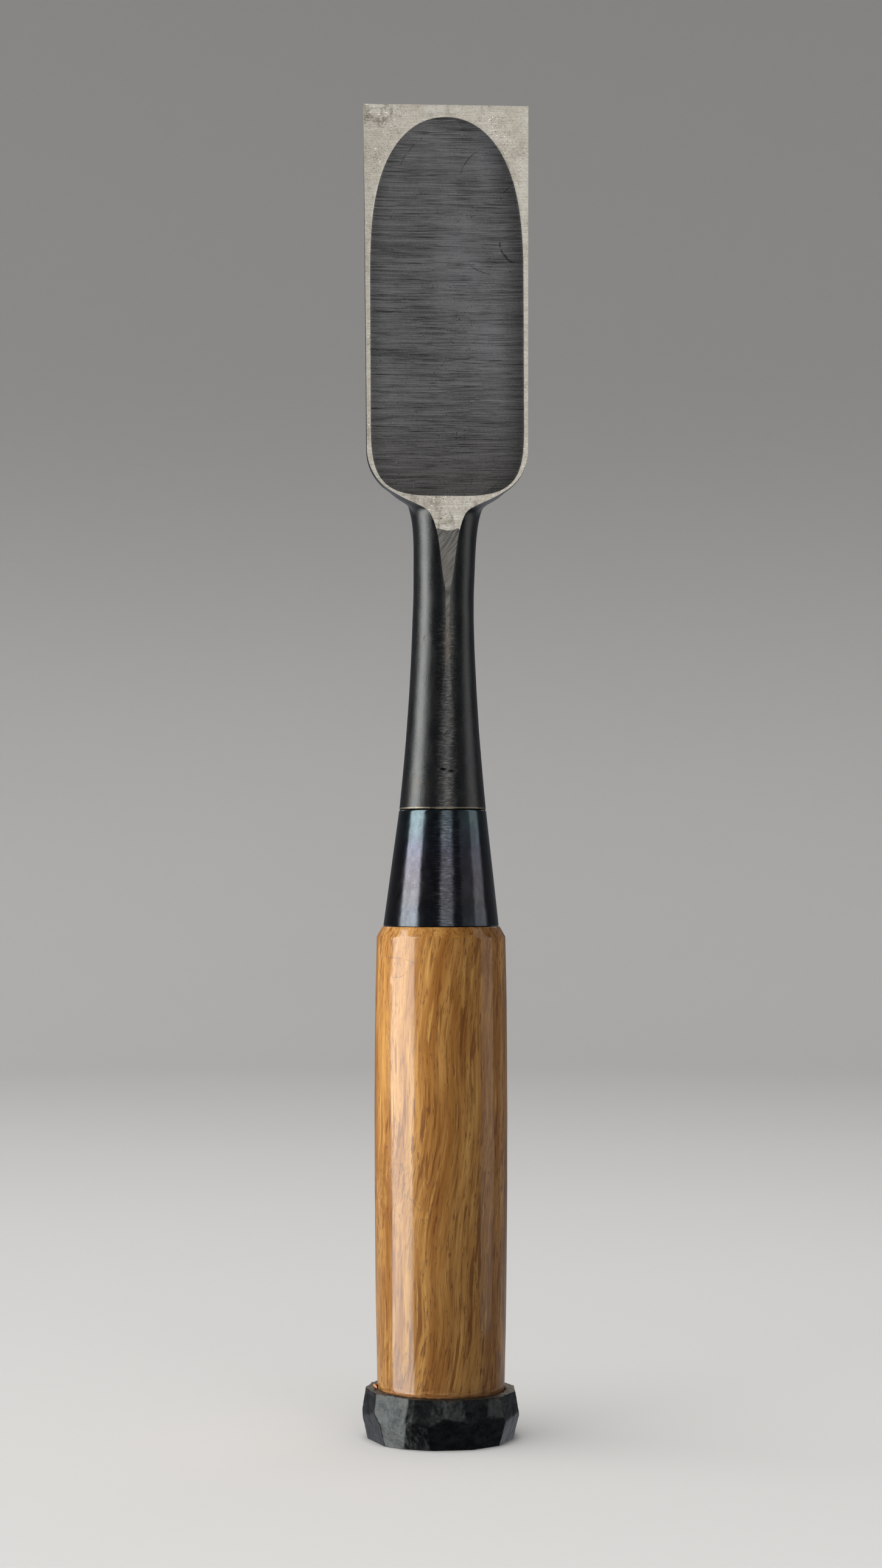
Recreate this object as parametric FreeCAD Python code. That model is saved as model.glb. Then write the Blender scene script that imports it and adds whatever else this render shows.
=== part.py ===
"""Japanese-pattern struck chisel, 30 mm wide, as five separate pieces that fit together on the bench.

cutting_steel   hard steel plate with the ground hollow; it wraps up both edges of the blade
iron_body       soft iron backing of the blade, forged in one with the round neck and the tang
ferrule         steel cone between the neck's shoulder and the handle's ledge
handle          turned oak handle with a tapered nose for the ferrule and a square tapered mortise
hoop            hammered iron ring on the struck end of the handle

Frame: +Z runs along the handle's axis from the struck end (Z 0) to the cutting edge.
The flat back of the blade, with the hollow, faces -Y. Millimetres.
"""

import FreeCAD, Part
import math
import os

V = FreeCAD.Vector
Z_AXIS = V(0, 0, 1)

# Lengths along the tool
LENGTH = 244.2
BLADE_LENGTH = 72.1
NECK_LENGTH = 56.5
FERRULE_LENGTH = 21.4
HOOP_HEIGHT = 9.2
TANG_LENGTH = 56.0

# Blade: "edge" sizes are at the cutting edge, "root" sizes at the shoulder
EDGE_WIDTH = 30.0
ROOT_WIDTH = 29.2
EDGE_THICKNESS = 4.8
ROOT_THICKNESS = 7.4
EDGE_WALL = 2.2
ROOT_WALL = 3.4
WALL_DRAFT = 0.15
SIDE_BEVEL = 5.4
BEVEL_ANGLE = 28.0
CORNER_RADIUS = 8.3
CORNER_SWEEP = 75.0
CORNER_RISE = 0.9

# Hard steel layer and the hollow ground into it
STEEL_THICKNESS = 1.7
STEEL_TAIL = 5.3
SCARF_LENGTH = 2.5
WRAP_THICKNESS = 1.4
WRAP_LENGTH = 58.0
HOLLOW_DEPTH = 0.7
HOLLOW_SLOPE_WIDTH = 5.0
HOLLOW_HALF_WIDTH = 14.05
HOLLOW_TO_EDGE = 2.2
HOLLOW_TO_SHOULDER = 0.7
ARCH_LENGTH = 31.7
FOOT_LENGTH = 15.0
OUTLINE_STEPS = 18
DEPTH_STEPS = 4

# Neck and tang
SEAT_RADIUS = 8.0
WAIST_RADIUS = 5.53
FLARE_RADIUS = 6.95
FLAT_CUT = 0.03
TAIL_END = 27.5
TAIL_RUN = 16.0
TAIL_RISE = 0.37
SWOOP_ABOVE = 11.0
SWOOP_BELOW = 9.0
TANG_ROOT = 7.4
TANG_TIP = 3.4

# Ferrule
FERRULE_WIDE_RADIUS = 10.65
FERRULE_SMALL_WALL = 1.25
FERRULE_WIDE_WALL = 1.4
EDGE_BREAK = 0.2

# Handle
HANDLE_RADIUS = 12.24
HANDLE_NECK_RADIUS = 11.87
HANDLE_HOOP_RADIUS = 11.72
LEDGE_RADIUS = 10.8
LEDGE_CHAMFER = 1.9
NOSE_GAP = 0.6
MORTISE_EXTRA = 2.5
HANDLE_END_RADIUS = 11.38
END_CHAMFER = 0.45

# Hoop
HOOP_RIDGE_RADIUS = 14.55
HOOP_TOP_RADIUS = 13.85
HOOP_FOOT_RADIUS = 13.45
HOOP_RIDGE_Z = 4.6
HOOP_CHAMFER = 0.4
HOOP_MOUTH = 0.45
HOOP_FACETS = 13
FACET_DEPTH = 0.16
FACET_DEPTH_SPREAD = 0.10
FACET_TURN_SPREAD = 0.24

# Worked-out places
SHOULDER_Z = LENGTH - BLADE_LENGTH
NECK_Z = SHOULDER_Z - NECK_LENGTH
LEDGE_Z = NECK_Z - FERRULE_LENGTH
TANG_END_Z = NECK_Z - TANG_LENGTH
CORNER_Z = SHOULDER_Z + CORNER_RISE + CORNER_RADIUS
BACK_Y = FLAT_CUT - WAIST_RADIUS
BIG = 400.0


def polyline(points):
    """Closed straight-sided wire through the points."""
    return Part.makePolygon([*points, points[0]])


def line(a, b):
    return Part.LineSegment(a, b).toShape()


def lines(points):
    """Open chain of straight edges through the points."""
    return [line(a, b) for a, b in zip(points, points[1:])]


def spline(points):
    curve = Part.BSplineCurve()
    curve.interpolate(points)
    return curve.toShape()


def face_from(edges):
    return Part.Face(Part.Wire(Part.__sortEdges__(edges)))


def turned(edges):
    """Solid of revolution about Z from edges that close a profile in the XZ plane."""
    return face_from(edges).revolve(V(0, 0, 0), Z_AXIS, 360.0)


def half_space_block(point, normal):
    """Large block whose one face lies on the plane through point, on the side that normal points to."""
    block = Part.makeBox(BIG, BIG, BIG, V(-BIG / 2, -BIG / 2, 0))
    block.Placement = FreeCAD.Placement(point, FreeCAD.Rotation(Z_AXIS, normal))
    return block


def across_blade(edges):
    """Prism of a closed outline in the YZ plane, running far past both sides of the blade."""
    face = face_from(edges)
    face.translate(V(-BIG / 2, 0, 0))
    return face.extrude(V(BIG, 0, 0))


def square_taper(z_top, z_bottom):
    """The tang's square taper between two heights, which the mortise in the handle shares."""
    wires = []
    for z in (z_bottom, z_top):
        half = (TANG_TIP + (TANG_ROOT - TANG_TIP) * (z - TANG_END_Z) / TANG_LENGTH) / 2
        wires.append(polyline([V(-half, -half, z), V(half, -half, z), V(half, half, z), V(-half, half, z)]))
    return Part.makeLoft(wires, True, True)


# ---------------------------------------------------------------- forging: blade, neck and tang


def blade_outline(inset, edge_height, root_height):
    """The blade's plan drawn in by an inset, on a plane whose height above the back tapers along it."""
    half_tip = EDGE_WIDTH / 2 - inset
    half_root = ROOT_WIDTH / 2 - inset
    radius = CORNER_RADIUS - inset
    sweep = math.radians(CORNER_SWEEP)

    def on_corner(angle):
        return V(half_root - radius + radius * math.cos(angle), 0, CORNER_Z - radius * math.sin(angle))

    tip = V(half_tip, 0, LENGTH + 1)
    start, middle, foot = on_corner(0), on_corner(sweep / 2), on_corner(sweep)
    inside_neck = WAIST_RADIUS - 1
    waist = V(inside_neck, 0, foot.z - (foot.x - inside_neck) / math.tan(sweep))
    side = [line(tip, start), Part.Arc(start, middle, foot).toShape(), line(foot, waist)]
    other_side = [edge.mirror(V(0, 0, 0), V(1, 0, 0)) for edge in side]
    ends = [line(tip, V(-tip.x, 0, tip.z)), line(waist, V(-waist.x, 0, waist.z))]
    wire = Part.Wire(Part.__sortEdges__(side + other_side + ends))
    tilt = math.degrees(math.atan((root_height - edge_height) / (LENGTH - SHOULDER_Z)))
    wire.rotate(V(0, 0, LENGTH), V(1, 0, 0), tilt)
    wire.translate(V(0, BACK_Y + edge_height, 0))
    return wire


def blade_bar():
    """The blade: flat back, short side walls, bevels round the sides and shoulders, and the ground bevel."""
    outlines = [
        blade_outline(0.0, 0.0, 0.0),
        blade_outline(WALL_DRAFT, EDGE_WALL, ROOT_WALL),
        blade_outline(SIDE_BEVEL, EDGE_THICKNESS, ROOT_THICKNESS),
    ]
    bar = Part.makeLoft(outlines, True, True)
    angle = math.radians(BEVEL_ANGLE)
    return bar.cut(half_space_block(V(0, BACK_Y, LENGTH), V(0, math.cos(angle), math.sin(angle))))


def face_y(z):
    """Y of the blade's flat face at height z."""
    share = (LENGTH - z) / (LENGTH - SHOULDER_Z)
    return BACK_Y + EDGE_THICKNESS + share * (ROOT_THICKNESS - EDGE_THICKNESS)


def neck_flare():
    """Points along the neck's side: a trumpet, widest at the ferrule and flared again at the blade."""
    return [
        V(SEAT_RADIUS, 0, NECK_Z + EDGE_BREAK),
        V(6.64, 0, NECK_Z + 15.0),
        V(5.74, 0, NECK_Z + 30.0),
        V(WAIST_RADIUS, 0, NECK_Z + 40.0),
        V(5.80, 0, SHOULDER_Z - 5.3),
        V(FLARE_RADIUS, 0, SHOULDER_Z - 0.4),
    ]


def below_the_flat():
    """What is dressed off the neck's back: level with the blade's back, then out in a narrow tail."""
    tail_z = NECK_Z + TAIL_END
    points = [V(0, BACK_Y, BIG), V(0, BACK_Y, tail_z + TAIL_RUN), V(0, BACK_Y - TAIL_RISE, tail_z)]
    points += [V(0, -BIG, tail_z), V(0, -BIG, BIG)]
    return across_blade(polyline(points).Edges)


def above_the_swoop(start_y):
    """What is cut from the neck's front, by an S-curve from the neck's side to the blade's face."""
    start = V(0, start_y, SHOULDER_Z - SWOOP_BELOW)
    foot = V(0, face_y(SHOULDER_Z + SWOOP_ABOVE), SHOULDER_Z + SWOOP_ABOVE)
    along_face = V(0, EDGE_THICKNESS - ROOT_THICKNESS, LENGTH - SHOULDER_Z)
    along_neck = Z_AXIS * foot.distanceToPoint(start)
    curve = Part.BSplineCurve()
    curve.interpolate([start, foot], InitialTangent=along_neck, FinalTangent=along_face)
    return across_blade([curve.toShape(), *lines([foot, V(0, BIG, foot.z), V(0, BIG, start.z), start])])


def neck():
    """Round neck, dressed flat at the back and swept down onto the blade's face."""
    flare = neck_flare()
    top_z = SHOULDER_Z + SWOOP_ABOVE - 1.0
    into_blade = V(FLARE_RADIUS + 1.0, 0, top_z)
    break_in = V(SEAT_RADIUS - EDGE_BREAK, 0, NECK_Z)
    corners = [flare[-1], into_blade, V(0, 0, top_z), V(0, 0, NECK_Z), break_in, flare[0]]
    body = turned([spline(flare), *lines(corners)])
    return body.cut([below_the_flat(), above_the_swoop(flare[-2].x)])


def forging():
    """Blade, neck and tang in one, before the hard steel and the hollow are told apart."""
    return blade_bar().fuse([neck(), square_taper(NECK_Z + 1, TANG_END_Z)]).removeSplitter()


# ---------------------------------------------------------------- hard steel and soft iron


def steel_region():
    """Where the steel lies: a layer under the back with a scarfed tail, and a strip up each side."""
    inside_y = BACK_Y + STEEL_THICKNESS
    tail_z = SHOULDER_Z - STEEL_TAIL
    outside_y = BACK_Y - 1
    far_y = BACK_Y + ROOT_THICKNESS
    wrap_z = LENGTH - WRAP_LENGTH
    under = [V(0, outside_y, tail_z - SCARF_LENGTH), V(0, inside_y, tail_z + SCARF_LENGTH)]
    under += [V(0, inside_y, BIG), V(0, outside_y, BIG)]
    beside = [V(0, outside_y, wrap_z - SCARF_LENGTH), V(0, far_y, wrap_z + 2 * SCARF_LENGTH)]
    beside += [V(0, far_y, BIG), V(0, outside_y, BIG)]
    layer = across_blade(polyline(under).Edges)
    strips = across_blade(polyline(beside).Edges)
    inner = EDGE_WIDTH / 2 - WRAP_THICKNESS
    strips = strips.cut(Part.makeBox(2 * inner, BIG, 2 * BIG, V(-inner, -BIG / 2, -BIG)))
    return layer.fuse(strips)


def hollow_half_width(z):
    """Half width of the hollow at height z: an arch towards the edge, a squarer foot towards the shoulder."""
    top, foot = LENGTH - HOLLOW_TO_EDGE, SHOULDER_Z + HOLLOW_TO_SHOULDER
    arch = max(0.0, (z - (top - ARCH_LENGTH)) / ARCH_LENGTH)
    base = max(0.0, ((foot + FOOT_LENGTH) - z) / FOOT_LENGTH)
    width = (1 - min(1.0, arch) ** 3) ** (1 / 2.1)
    return HOLLOW_HALF_WIDTH * width * (1 - min(1.0, base) ** 3.8) ** (1 / 3.8)


def hollow_ring(shrink, depth):
    """The hollow's outline, drawn in by a distance and set at a depth below the back."""
    top, foot = LENGTH - HOLLOW_TO_EDGE, SHOULDER_Z + HOLLOW_TO_SHOULDER
    middle, reach = (top + foot) / 2, (top - foot) / 2
    right = []
    for k in range(OUTLINE_STEPS + 1):
        z = middle + reach * math.cos(math.pi * k / OUTLINE_STEPS)
        right.append((hollow_half_width(z), z))
    outline = right + [(-x, z) for x, z in reversed(right[1:-1])]
    across = 1 - shrink / HOLLOW_HALF_WIDTH
    along = 1 - shrink / reach
    curve = Part.BSplineCurve()
    points = [V(x * across, BACK_Y + depth, middle + (z - middle) * along) for x, z in outline]
    curve.interpolate(points, PeriodicFlag=True)
    return Part.Wire([curve.toShape()])


def hollow_dish():
    """Shallow dish that leaves the back at a clear angle and levels out towards its floor."""
    rings = [hollow_ring(-0.1, -0.1 * HOLLOW_DEPTH)]
    for k in range(1, DEPTH_STEPS + 1):
        inward = k / DEPTH_STEPS
        rings.append(hollow_ring(HOLLOW_SLOPE_WIDTH * inward, HOLLOW_DEPTH * (1 - (1 - inward) ** 2)))
    return Part.makeLoft(rings, True, True)


def cutting_steel():
    return forging().common(steel_region()).cut(hollow_dish())


def iron_body():
    return forging().cut(steel_region())


# ---------------------------------------------------------------- ferrule, handle, hoop


def nose_radius(z):
    """Radius of the handle's nose, which is also the ferrule's bore."""
    wide = FERRULE_WIDE_RADIUS - FERRULE_WIDE_WALL
    small = SEAT_RADIUS - FERRULE_SMALL_WALL
    return wide + (small - wide) * (z - LEDGE_Z) / FERRULE_LENGTH


def ferrule():
    profile = [
        V(nose_radius(LEDGE_Z), 0, LEDGE_Z),
        V(FERRULE_WIDE_RADIUS - EDGE_BREAK, 0, LEDGE_Z),
        V(FERRULE_WIDE_RADIUS, 0, LEDGE_Z + EDGE_BREAK),
        V(SEAT_RADIUS, 0, NECK_Z - EDGE_BREAK),
        V(SEAT_RADIUS - EDGE_BREAK, 0, NECK_Z),
        V(nose_radius(NECK_Z), 0, NECK_Z),
    ]
    return turned(polyline(profile).Edges)


def hoop_seat_radius(z):
    """Radius of the handle's end inside the hoop, narrower towards the struck end so that the hoop wedges on."""
    return HANDLE_END_RADIUS + (HANDLE_HOOP_RADIUS - HANDLE_END_RADIUS) * z / HOOP_HEIGHT


def handle():
    chamfer_z = LEDGE_Z - LEDGE_CHAMFER
    nose_z = NECK_Z - NOSE_GAP
    grip = chamfer_z - HOOP_HEIGHT
    barrel = spline(
        [
            V(HANDLE_HOOP_RADIUS, 0, HOOP_HEIGHT),
            V(12.08, 0, HOOP_HEIGHT + 0.28 * grip),
            V(HANDLE_RADIUS, 0, HOOP_HEIGHT + 0.60 * grip),
            V(12.12, 0, HOOP_HEIGHT + 0.86 * grip),
            V(HANDLE_NECK_RADIUS, 0, chamfer_z),
        ]
    )
    around = [
        V(HANDLE_NECK_RADIUS, 0, chamfer_z),
        V(LEDGE_RADIUS, 0, LEDGE_Z),
        V(nose_radius(LEDGE_Z), 0, LEDGE_Z),
        V(nose_radius(nose_z), 0, nose_z),
        V(0, 0, nose_z),
        V(0, 0, 0),
        V(hoop_seat_radius(0) - END_CHAMFER, 0, 0),
        V(hoop_seat_radius(END_CHAMFER), 0, END_CHAMFER),
        V(HANDLE_HOOP_RADIUS, 0, HOOP_HEIGHT),
    ]
    return turned([barrel, *lines(around)]).cut(square_taper(NECK_Z, TANG_END_Z - MORTISE_EXTRA))


def hammered(blank, far_radius, far_z, phase):
    """Cuts one tier of uneven flats round the blank, each sloping from the ridge to a far edge."""
    rise = far_z - HOOP_RIDGE_Z
    fall = HOOP_RIDGE_RADIUS - far_radius
    for k in range(HOOP_FACETS):
        uneven = FACET_TURN_SPREAD * math.sin(2.4 * k + phase)
        turn = 2 * math.pi * (k + uneven) / HOOP_FACETS + phase
        depth = FACET_DEPTH + FACET_DEPTH_SPREAD * math.sin(1.7 * k + 2 * phase)
        outward = V(math.cos(turn), math.sin(turn), 0)
        on_ridge = outward * (HOOP_RIDGE_RADIUS - depth) + V(0, 0, HOOP_RIDGE_Z)
        normal = outward * abs(rise) + V(0, 0, math.copysign(fall, rise))
        blank = blank.cut(half_space_block(on_ridge, normal.normalize()))
    return blank


def hoop():
    mouth_z = HOOP_HEIGHT - HOOP_MOUTH
    profile = [
        V(hoop_seat_radius(0) + HOOP_MOUTH, 0, 0),
        V(HOOP_FOOT_RADIUS - HOOP_CHAMFER, 0, 0),
        V(HOOP_FOOT_RADIUS, 0, HOOP_CHAMFER),
        V(HOOP_RIDGE_RADIUS, 0, HOOP_RIDGE_Z),
        V(HOOP_TOP_RADIUS, 0, HOOP_HEIGHT - HOOP_CHAMFER),
        V(HOOP_TOP_RADIUS - HOOP_CHAMFER, 0, HOOP_HEIGHT),
        V(hoop_seat_radius(mouth_z) + HOOP_MOUTH / 2, 0, HOOP_HEIGHT),
        V(hoop_seat_radius(mouth_z), 0, mouth_z),
        V(hoop_seat_radius(HOOP_MOUTH), 0, HOOP_MOUTH),
    ]
    upper = hammered(turned(polyline(profile).Edges), HOOP_TOP_RADIUS, HOOP_HEIGHT, 1.0)
    return hammered(upper, HOOP_FOOT_RADIUS, 0.0, 2.3)


def main():
    os.makedirs("parts", exist_ok=True)
    for make in (cutting_steel, iron_body, ferrule, handle, hoop):
        solids = make().Solids
        if len(solids) != 1 or not solids[0].isValid():
            raise ValueError(f"{make.__name__} is not one valid solid")
        solids[0].exportStep(f"parts/{make.__name__}.step")


main()
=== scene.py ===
"""Looks of a Japanese-pattern struck chisel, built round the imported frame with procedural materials.

Shapes are worked out in millimetres and turned into metres when a mesh is made. The chisel stands on its
struck end, +Z towards the cutting edge, with the hollow back of the blade facing -Y, where the camera is.
"""

import itertools
import math

import bpy
import numpy as np
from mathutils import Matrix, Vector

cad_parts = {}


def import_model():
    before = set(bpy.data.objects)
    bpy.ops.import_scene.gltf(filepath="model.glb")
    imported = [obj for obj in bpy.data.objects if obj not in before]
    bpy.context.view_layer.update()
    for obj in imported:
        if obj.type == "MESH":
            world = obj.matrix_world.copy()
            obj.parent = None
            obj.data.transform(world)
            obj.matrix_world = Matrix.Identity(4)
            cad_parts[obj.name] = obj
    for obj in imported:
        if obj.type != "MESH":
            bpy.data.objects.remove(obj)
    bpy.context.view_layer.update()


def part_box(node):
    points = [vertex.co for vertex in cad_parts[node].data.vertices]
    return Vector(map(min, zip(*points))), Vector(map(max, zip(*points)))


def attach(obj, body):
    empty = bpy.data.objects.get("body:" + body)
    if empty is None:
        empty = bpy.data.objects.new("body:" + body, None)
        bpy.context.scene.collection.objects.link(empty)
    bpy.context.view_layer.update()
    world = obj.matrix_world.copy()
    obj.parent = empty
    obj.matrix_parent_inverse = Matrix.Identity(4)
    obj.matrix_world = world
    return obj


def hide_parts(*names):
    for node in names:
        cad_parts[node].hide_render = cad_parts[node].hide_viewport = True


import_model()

MM = 0.001


def box_mm(node):
    """Lowest and highest corners of a CAD node, in millimetres."""
    low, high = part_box(node)
    return np.array(low) / MM, np.array(high) / MM


STEEL_LOW, STEEL_HIGH = box_mm("cutting_steel")
IRON_LOW, _ = box_mm("iron_body")
FERRULE_LOW, FERRULE_HIGH = box_mm("ferrule")
_, HANDLE_HIGH = box_mm("handle")
_, HOOP_HIGH = box_mm("hoop")

# Heights that the CAD frame gives
EDGE_Z = STEEL_HIGH[2]
BACK_Y = STEEL_LOW[1]
TANG_Z = IRON_LOW[2]
NECK_Z = FERRULE_HIGH[2]
LEDGE_Z = FERRULE_LOW[2]
NOSE_Z = HANDLE_HIGH[2]
HOOP_Z = HOOP_HIGH[2]

# Blade and neck, in millimetres
BLADE_LENGTH = 72.1
SHOULDER_Z = EDGE_Z - BLADE_LENGTH
EDGE_HALF_WIDTH = STEEL_HIGH[0] + 0.07
ROOT_HALF_WIDTH = EDGE_HALF_WIDTH - 0.35
EDGE_THICKNESS, ROOT_THICKNESS = 4.8, 7.4
EDGE_WALL, ROOT_WALL = 2.2, 3.4
SIDE_BEVEL = 5.4
BEVEL_SLOPE = math.tan(math.radians(28.0))
CORNER_RADIUS = 8.8
CORNER_SWEEP = math.radians(64.0)
CORNER_Z = SHOULDER_Z + 9.2
SEAT_RADIUS, WAIST_RADIUS = 8.0, 5.53
EARLY_FLARE, FLARE = 0.34, 1.08
WAIST_Z = NECK_Z + 40.0
TAIL_Z, TAIL_RUN = NECK_Z + 38.0, 12.0
SWOOP_LOW, SWOOP_HIGH = SHOULDER_Z - 9.0, SHOULDER_Z + 11.0
FILLET, SHOULDER_SPREAD = 1.2, 2.4
SHOULDER_SOFTNESS = 0.55
STRIP_DEPTH = 0.015
HOLLOW_TOP, HOLLOW_FOOT = EDGE_Z - 2.2, SHOULDER_Z + 0.7
HOLLOW_HALF_WIDTH, HOLLOW_DEPTH, HOLLOW_SLOPE = 14.05, 0.45, 5.0
ARCH_LENGTH, FOOT_LENGTH = 31.7, 15.0
STEEL_THICKNESS, WRAP_THICKNESS = 1.7, 1.4
STEEL_TAIL_Z, WRAP_Z, SCARF = SHOULDER_Z - 4.8, EDGE_Z - 58.0, 2.5
TANG_ROOT, TANG_TIP = 7.4, 3.4

# ---------------------------------------------------------------- noise and small maths

RANDOM = np.random.default_rng(11)
LATTICE = RANDOM.permutation(256)
GRADIENTS = RANDOM.normal(size=(256, 3))
GRADIENTS /= np.linalg.norm(GRADIENTS, axis=1)[:, None]


def noise(points, scale=1.0, seed=0):
    """Gradient noise, about -1 to 1, at an array of points; scale is the size of its features."""
    p = points / scale + seed * 17.3
    cell = np.floor(p).astype(int)
    inside = p - cell
    fade = inside**3 * (inside * (inside * 6 - 15) + 10)
    total = np.zeros(len(p))
    for corner in itertools.product((0, 1), repeat=3):
        at = cell + corner
        index = LATTICE[(LATTICE[(LATTICE[at[:, 0] & 255] + at[:, 1]) & 255] + at[:, 2]) & 255]
        weight = np.prod(np.where(corner, fade, 1 - fade), axis=1)
        total += weight * np.einsum("ij,ij->i", GRADIENTS[index], inside - corner)
    return total * 1.8


def layered_noise(points, scale, octaves=3, seed=0):
    return sum(noise(points, scale / 2**k, seed + k) / 2**k for k in range(octaves))


def smoothstep(low, high, x):
    t = np.clip((x - low) / (high - low), 0.0, 1.0)
    return t * t * (3 - 2 * t)


def smooth_max(a, b, reach):
    """The larger of two, with a rounded inside corner where they are within reach of each other."""
    near = np.maximum(reach - np.abs(a - b), 0.0) / max(reach, 1e-9)
    return np.maximum(a, b) + near * near * reach / 4


def spaced(start, stop, step):
    """Evenly spaced values from start up to, and without, stop."""
    count = max(1, round(abs(stop - start) / step))
    return list(np.linspace(start, stop, count, endpoint=False))


# ---------------------------------------------------------------- meshes


def link_new(name, data):
    """New object in the scene for a mesh, light or camera."""
    obj = bpy.data.objects.new(name, data)
    bpy.context.scene.collection.objects.link(obj)
    return obj


def make_object(name, points_mm, faces, smooth_angle=30.0):
    """Mesh object from points in millimetres, smooth-shaded up to an angle."""
    mesh = bpy.data.meshes.new(name)
    mesh.from_pydata((points_mm * MM).tolist(), [], faces)
    mesh.validate()
    mesh.shade_smooth()
    mesh.set_sharp_from_angle(angle=math.radians(smooth_angle))
    return link_new(name, mesh)


def band(low, high, around):
    """Quads between two rings of points that start at index low and at index high."""
    here = np.arange(around)
    after = (here + 1) % around
    return np.stack([low + here, low + after, high + after, high + here], axis=1)


def skin(rings):
    """Points and faces of a closed skin over equal rings, with a middle point at each end."""
    rings = np.asarray(rings)
    ring_count, around = rings.shape[:2]
    points = np.vstack([rings.reshape(-1, 3), rings[0].mean(axis=0), rings[-1].mean(axis=0)])
    here = np.arange(around)
    after = (here + 1) % around
    faces = []
    for k in range(ring_count - 1):
        faces += band(k * around, (k + 1) * around, around).tolist()
    bottom, top = ring_count * around, ring_count * around + 1
    last = (ring_count - 1) * around
    faces += [[bottom, int(b), int(a)] for a, b in zip(here, after)]
    faces += [[top, int(last + a), int(last + b)] for a, b in zip(here, after)]
    return points, faces


def turned_rings(profile, around):
    """Rings about Z for (radius, z, squareness) points; squareness 1 is a square of that half width."""
    turn = np.linspace(0, 2 * math.pi, around, endpoint=False) - math.pi / 2
    square = 1 / np.maximum(np.abs(np.cos(turn)), np.abs(np.sin(turn)))
    rings = []
    for radius, z, squareness in profile:
        reach = radius * (1 + (square - 1) * squareness)
        rings.append(np.stack([reach * np.cos(turn), reach * np.sin(turn), np.full(around, z)], axis=1))
    return np.array(rings)


def rounded_profile(corners, radius, steps=4):
    """Profile through (r, z) corners with each inner corner replaced by a small arc."""
    corners = [np.array(c, float) for c in corners]
    out = [corners[0]]
    for before, corner, after in zip(corners, corners[1:], corners[2:]):
        back, on = before - corner, after - corner
        reach = min(radius, np.linalg.norm(back) * 0.45, np.linalg.norm(on) * 0.45)
        start = corner + back / np.linalg.norm(back) * reach
        end = corner + on / np.linalg.norm(on) * reach
        for k in range(steps + 1):
            t = k / steps
            out.append((1 - t) ** 2 * start + 2 * t * (1 - t) * corner + t * t * end)
    return [*out, corners[-1]]


def refine(profile, step):
    """Adds points along a profile so that none are further apart than step."""
    out = [profile[0]]
    for a, b in zip(profile, profile[1:]):
        count = max(1, math.ceil(np.linalg.norm(np.subtract(b, a)) / step))
        out += [a + (b - a) * (k + 1) / count for k in range(count)]
    return out


def push_out(rings, amount):
    """Moves points of rings away from the Z axis by an amount each."""
    radius = np.maximum(np.hypot(rings[..., 0], rings[..., 1]), 1e-6)
    rings[..., :2] *= (1 + amount / radius)[..., None]
    return rings


def on_outside(rings, radius_at):
    """1 where a point of the rings is further out than radius_at, else 0."""
    return (np.hypot(rings[..., 0], rings[..., 1]) > radius_at).astype(float)


def ring_noise(rings, scale, octaves, seed, stretch=1.0):
    points = rings.reshape(-1, 3) * [1, 1, 1 / stretch]
    return layered_noise(points, scale, octaves, seed).reshape(rings.shape[:2])


def dent(rings, azimuth, z, wide, tall, depth):
    """Depth of a soft dent on a turned surface; azimuth is degrees to the right of the front."""
    turn = np.degrees(np.arctan2(rings[..., 0], -rings[..., 1]))
    across = (turn - azimuth) / wide
    return -depth * np.exp(-(across**2) - ((rings[..., 2] - z) / tall) ** 2)


# ---------------------------------------------------------------- forging: blade, neck and tang


def neck_radius(z):
    """A trumpet: widest at the ferrule, a long waist, and flared again into the blade's shoulder."""
    t = np.clip((z - NECK_Z) / (WAIST_Z - NECK_Z), 0, 1)
    u = np.clip((z - WAIST_Z) / (SHOULDER_Z - 0.4 - WAIST_Z), 0, 1)
    beyond = np.maximum(z - (SHOULDER_Z - 0.4), 0)
    trumpet = (SEAT_RADIUS - WAIST_RADIUS) * (1 - t) ** 1.7 + EARLY_FLARE * u + FLARE * u**5.5
    return WAIST_RADIUS + trumpet + 0.096 * beyond


def sideways_spread(z):
    """How much further the neck's sides reach where they run out into the shoulders."""
    rise = np.clip((z - SHOULDER_Z + 2.2) / 2.3, 0, 1.15) ** 2
    return SHOULDER_SPREAD * rise * (1 - smoothstep(SHOULDER_Z + 3, SHOULDER_Z + 9, z))


TAIL_RISE = float(neck_radius(TAIL_Z)) + BACK_Y - STRIP_DEPTH


def back_plane(z):
    """Y of the dressed flat: the blade's back, a tail that rises off it, then a strip barely grazed."""
    dressed = BACK_Y - TAIL_RISE * max(0.0, TAIL_Z + TAIL_RUN - z) / TAIL_RUN
    grazed = STRIP_DEPTH * float(smoothstep(TAIL_Z - 11, TAIL_Z - 5, z)) - neck_radius(z)
    return max(dressed, grazed) if z > TAIL_Z else grazed


def taper(z, at_edge, at_root):
    return at_edge + (at_root - at_edge) * (EDGE_Z - z) / BLADE_LENGTH


def swoop(z):
    """Y of the S-curve that carries the neck's front down onto the blade's face."""
    foot = BACK_Y + taper(SWOOP_HIGH, EDGE_THICKNESS, ROOT_THICKNESS)
    t = smoothstep(SWOOP_LOW, SWOOP_HIGH, z)
    return neck_radius(SWOOP_LOW) * (1 - t) + foot * t + 0.02


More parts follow.
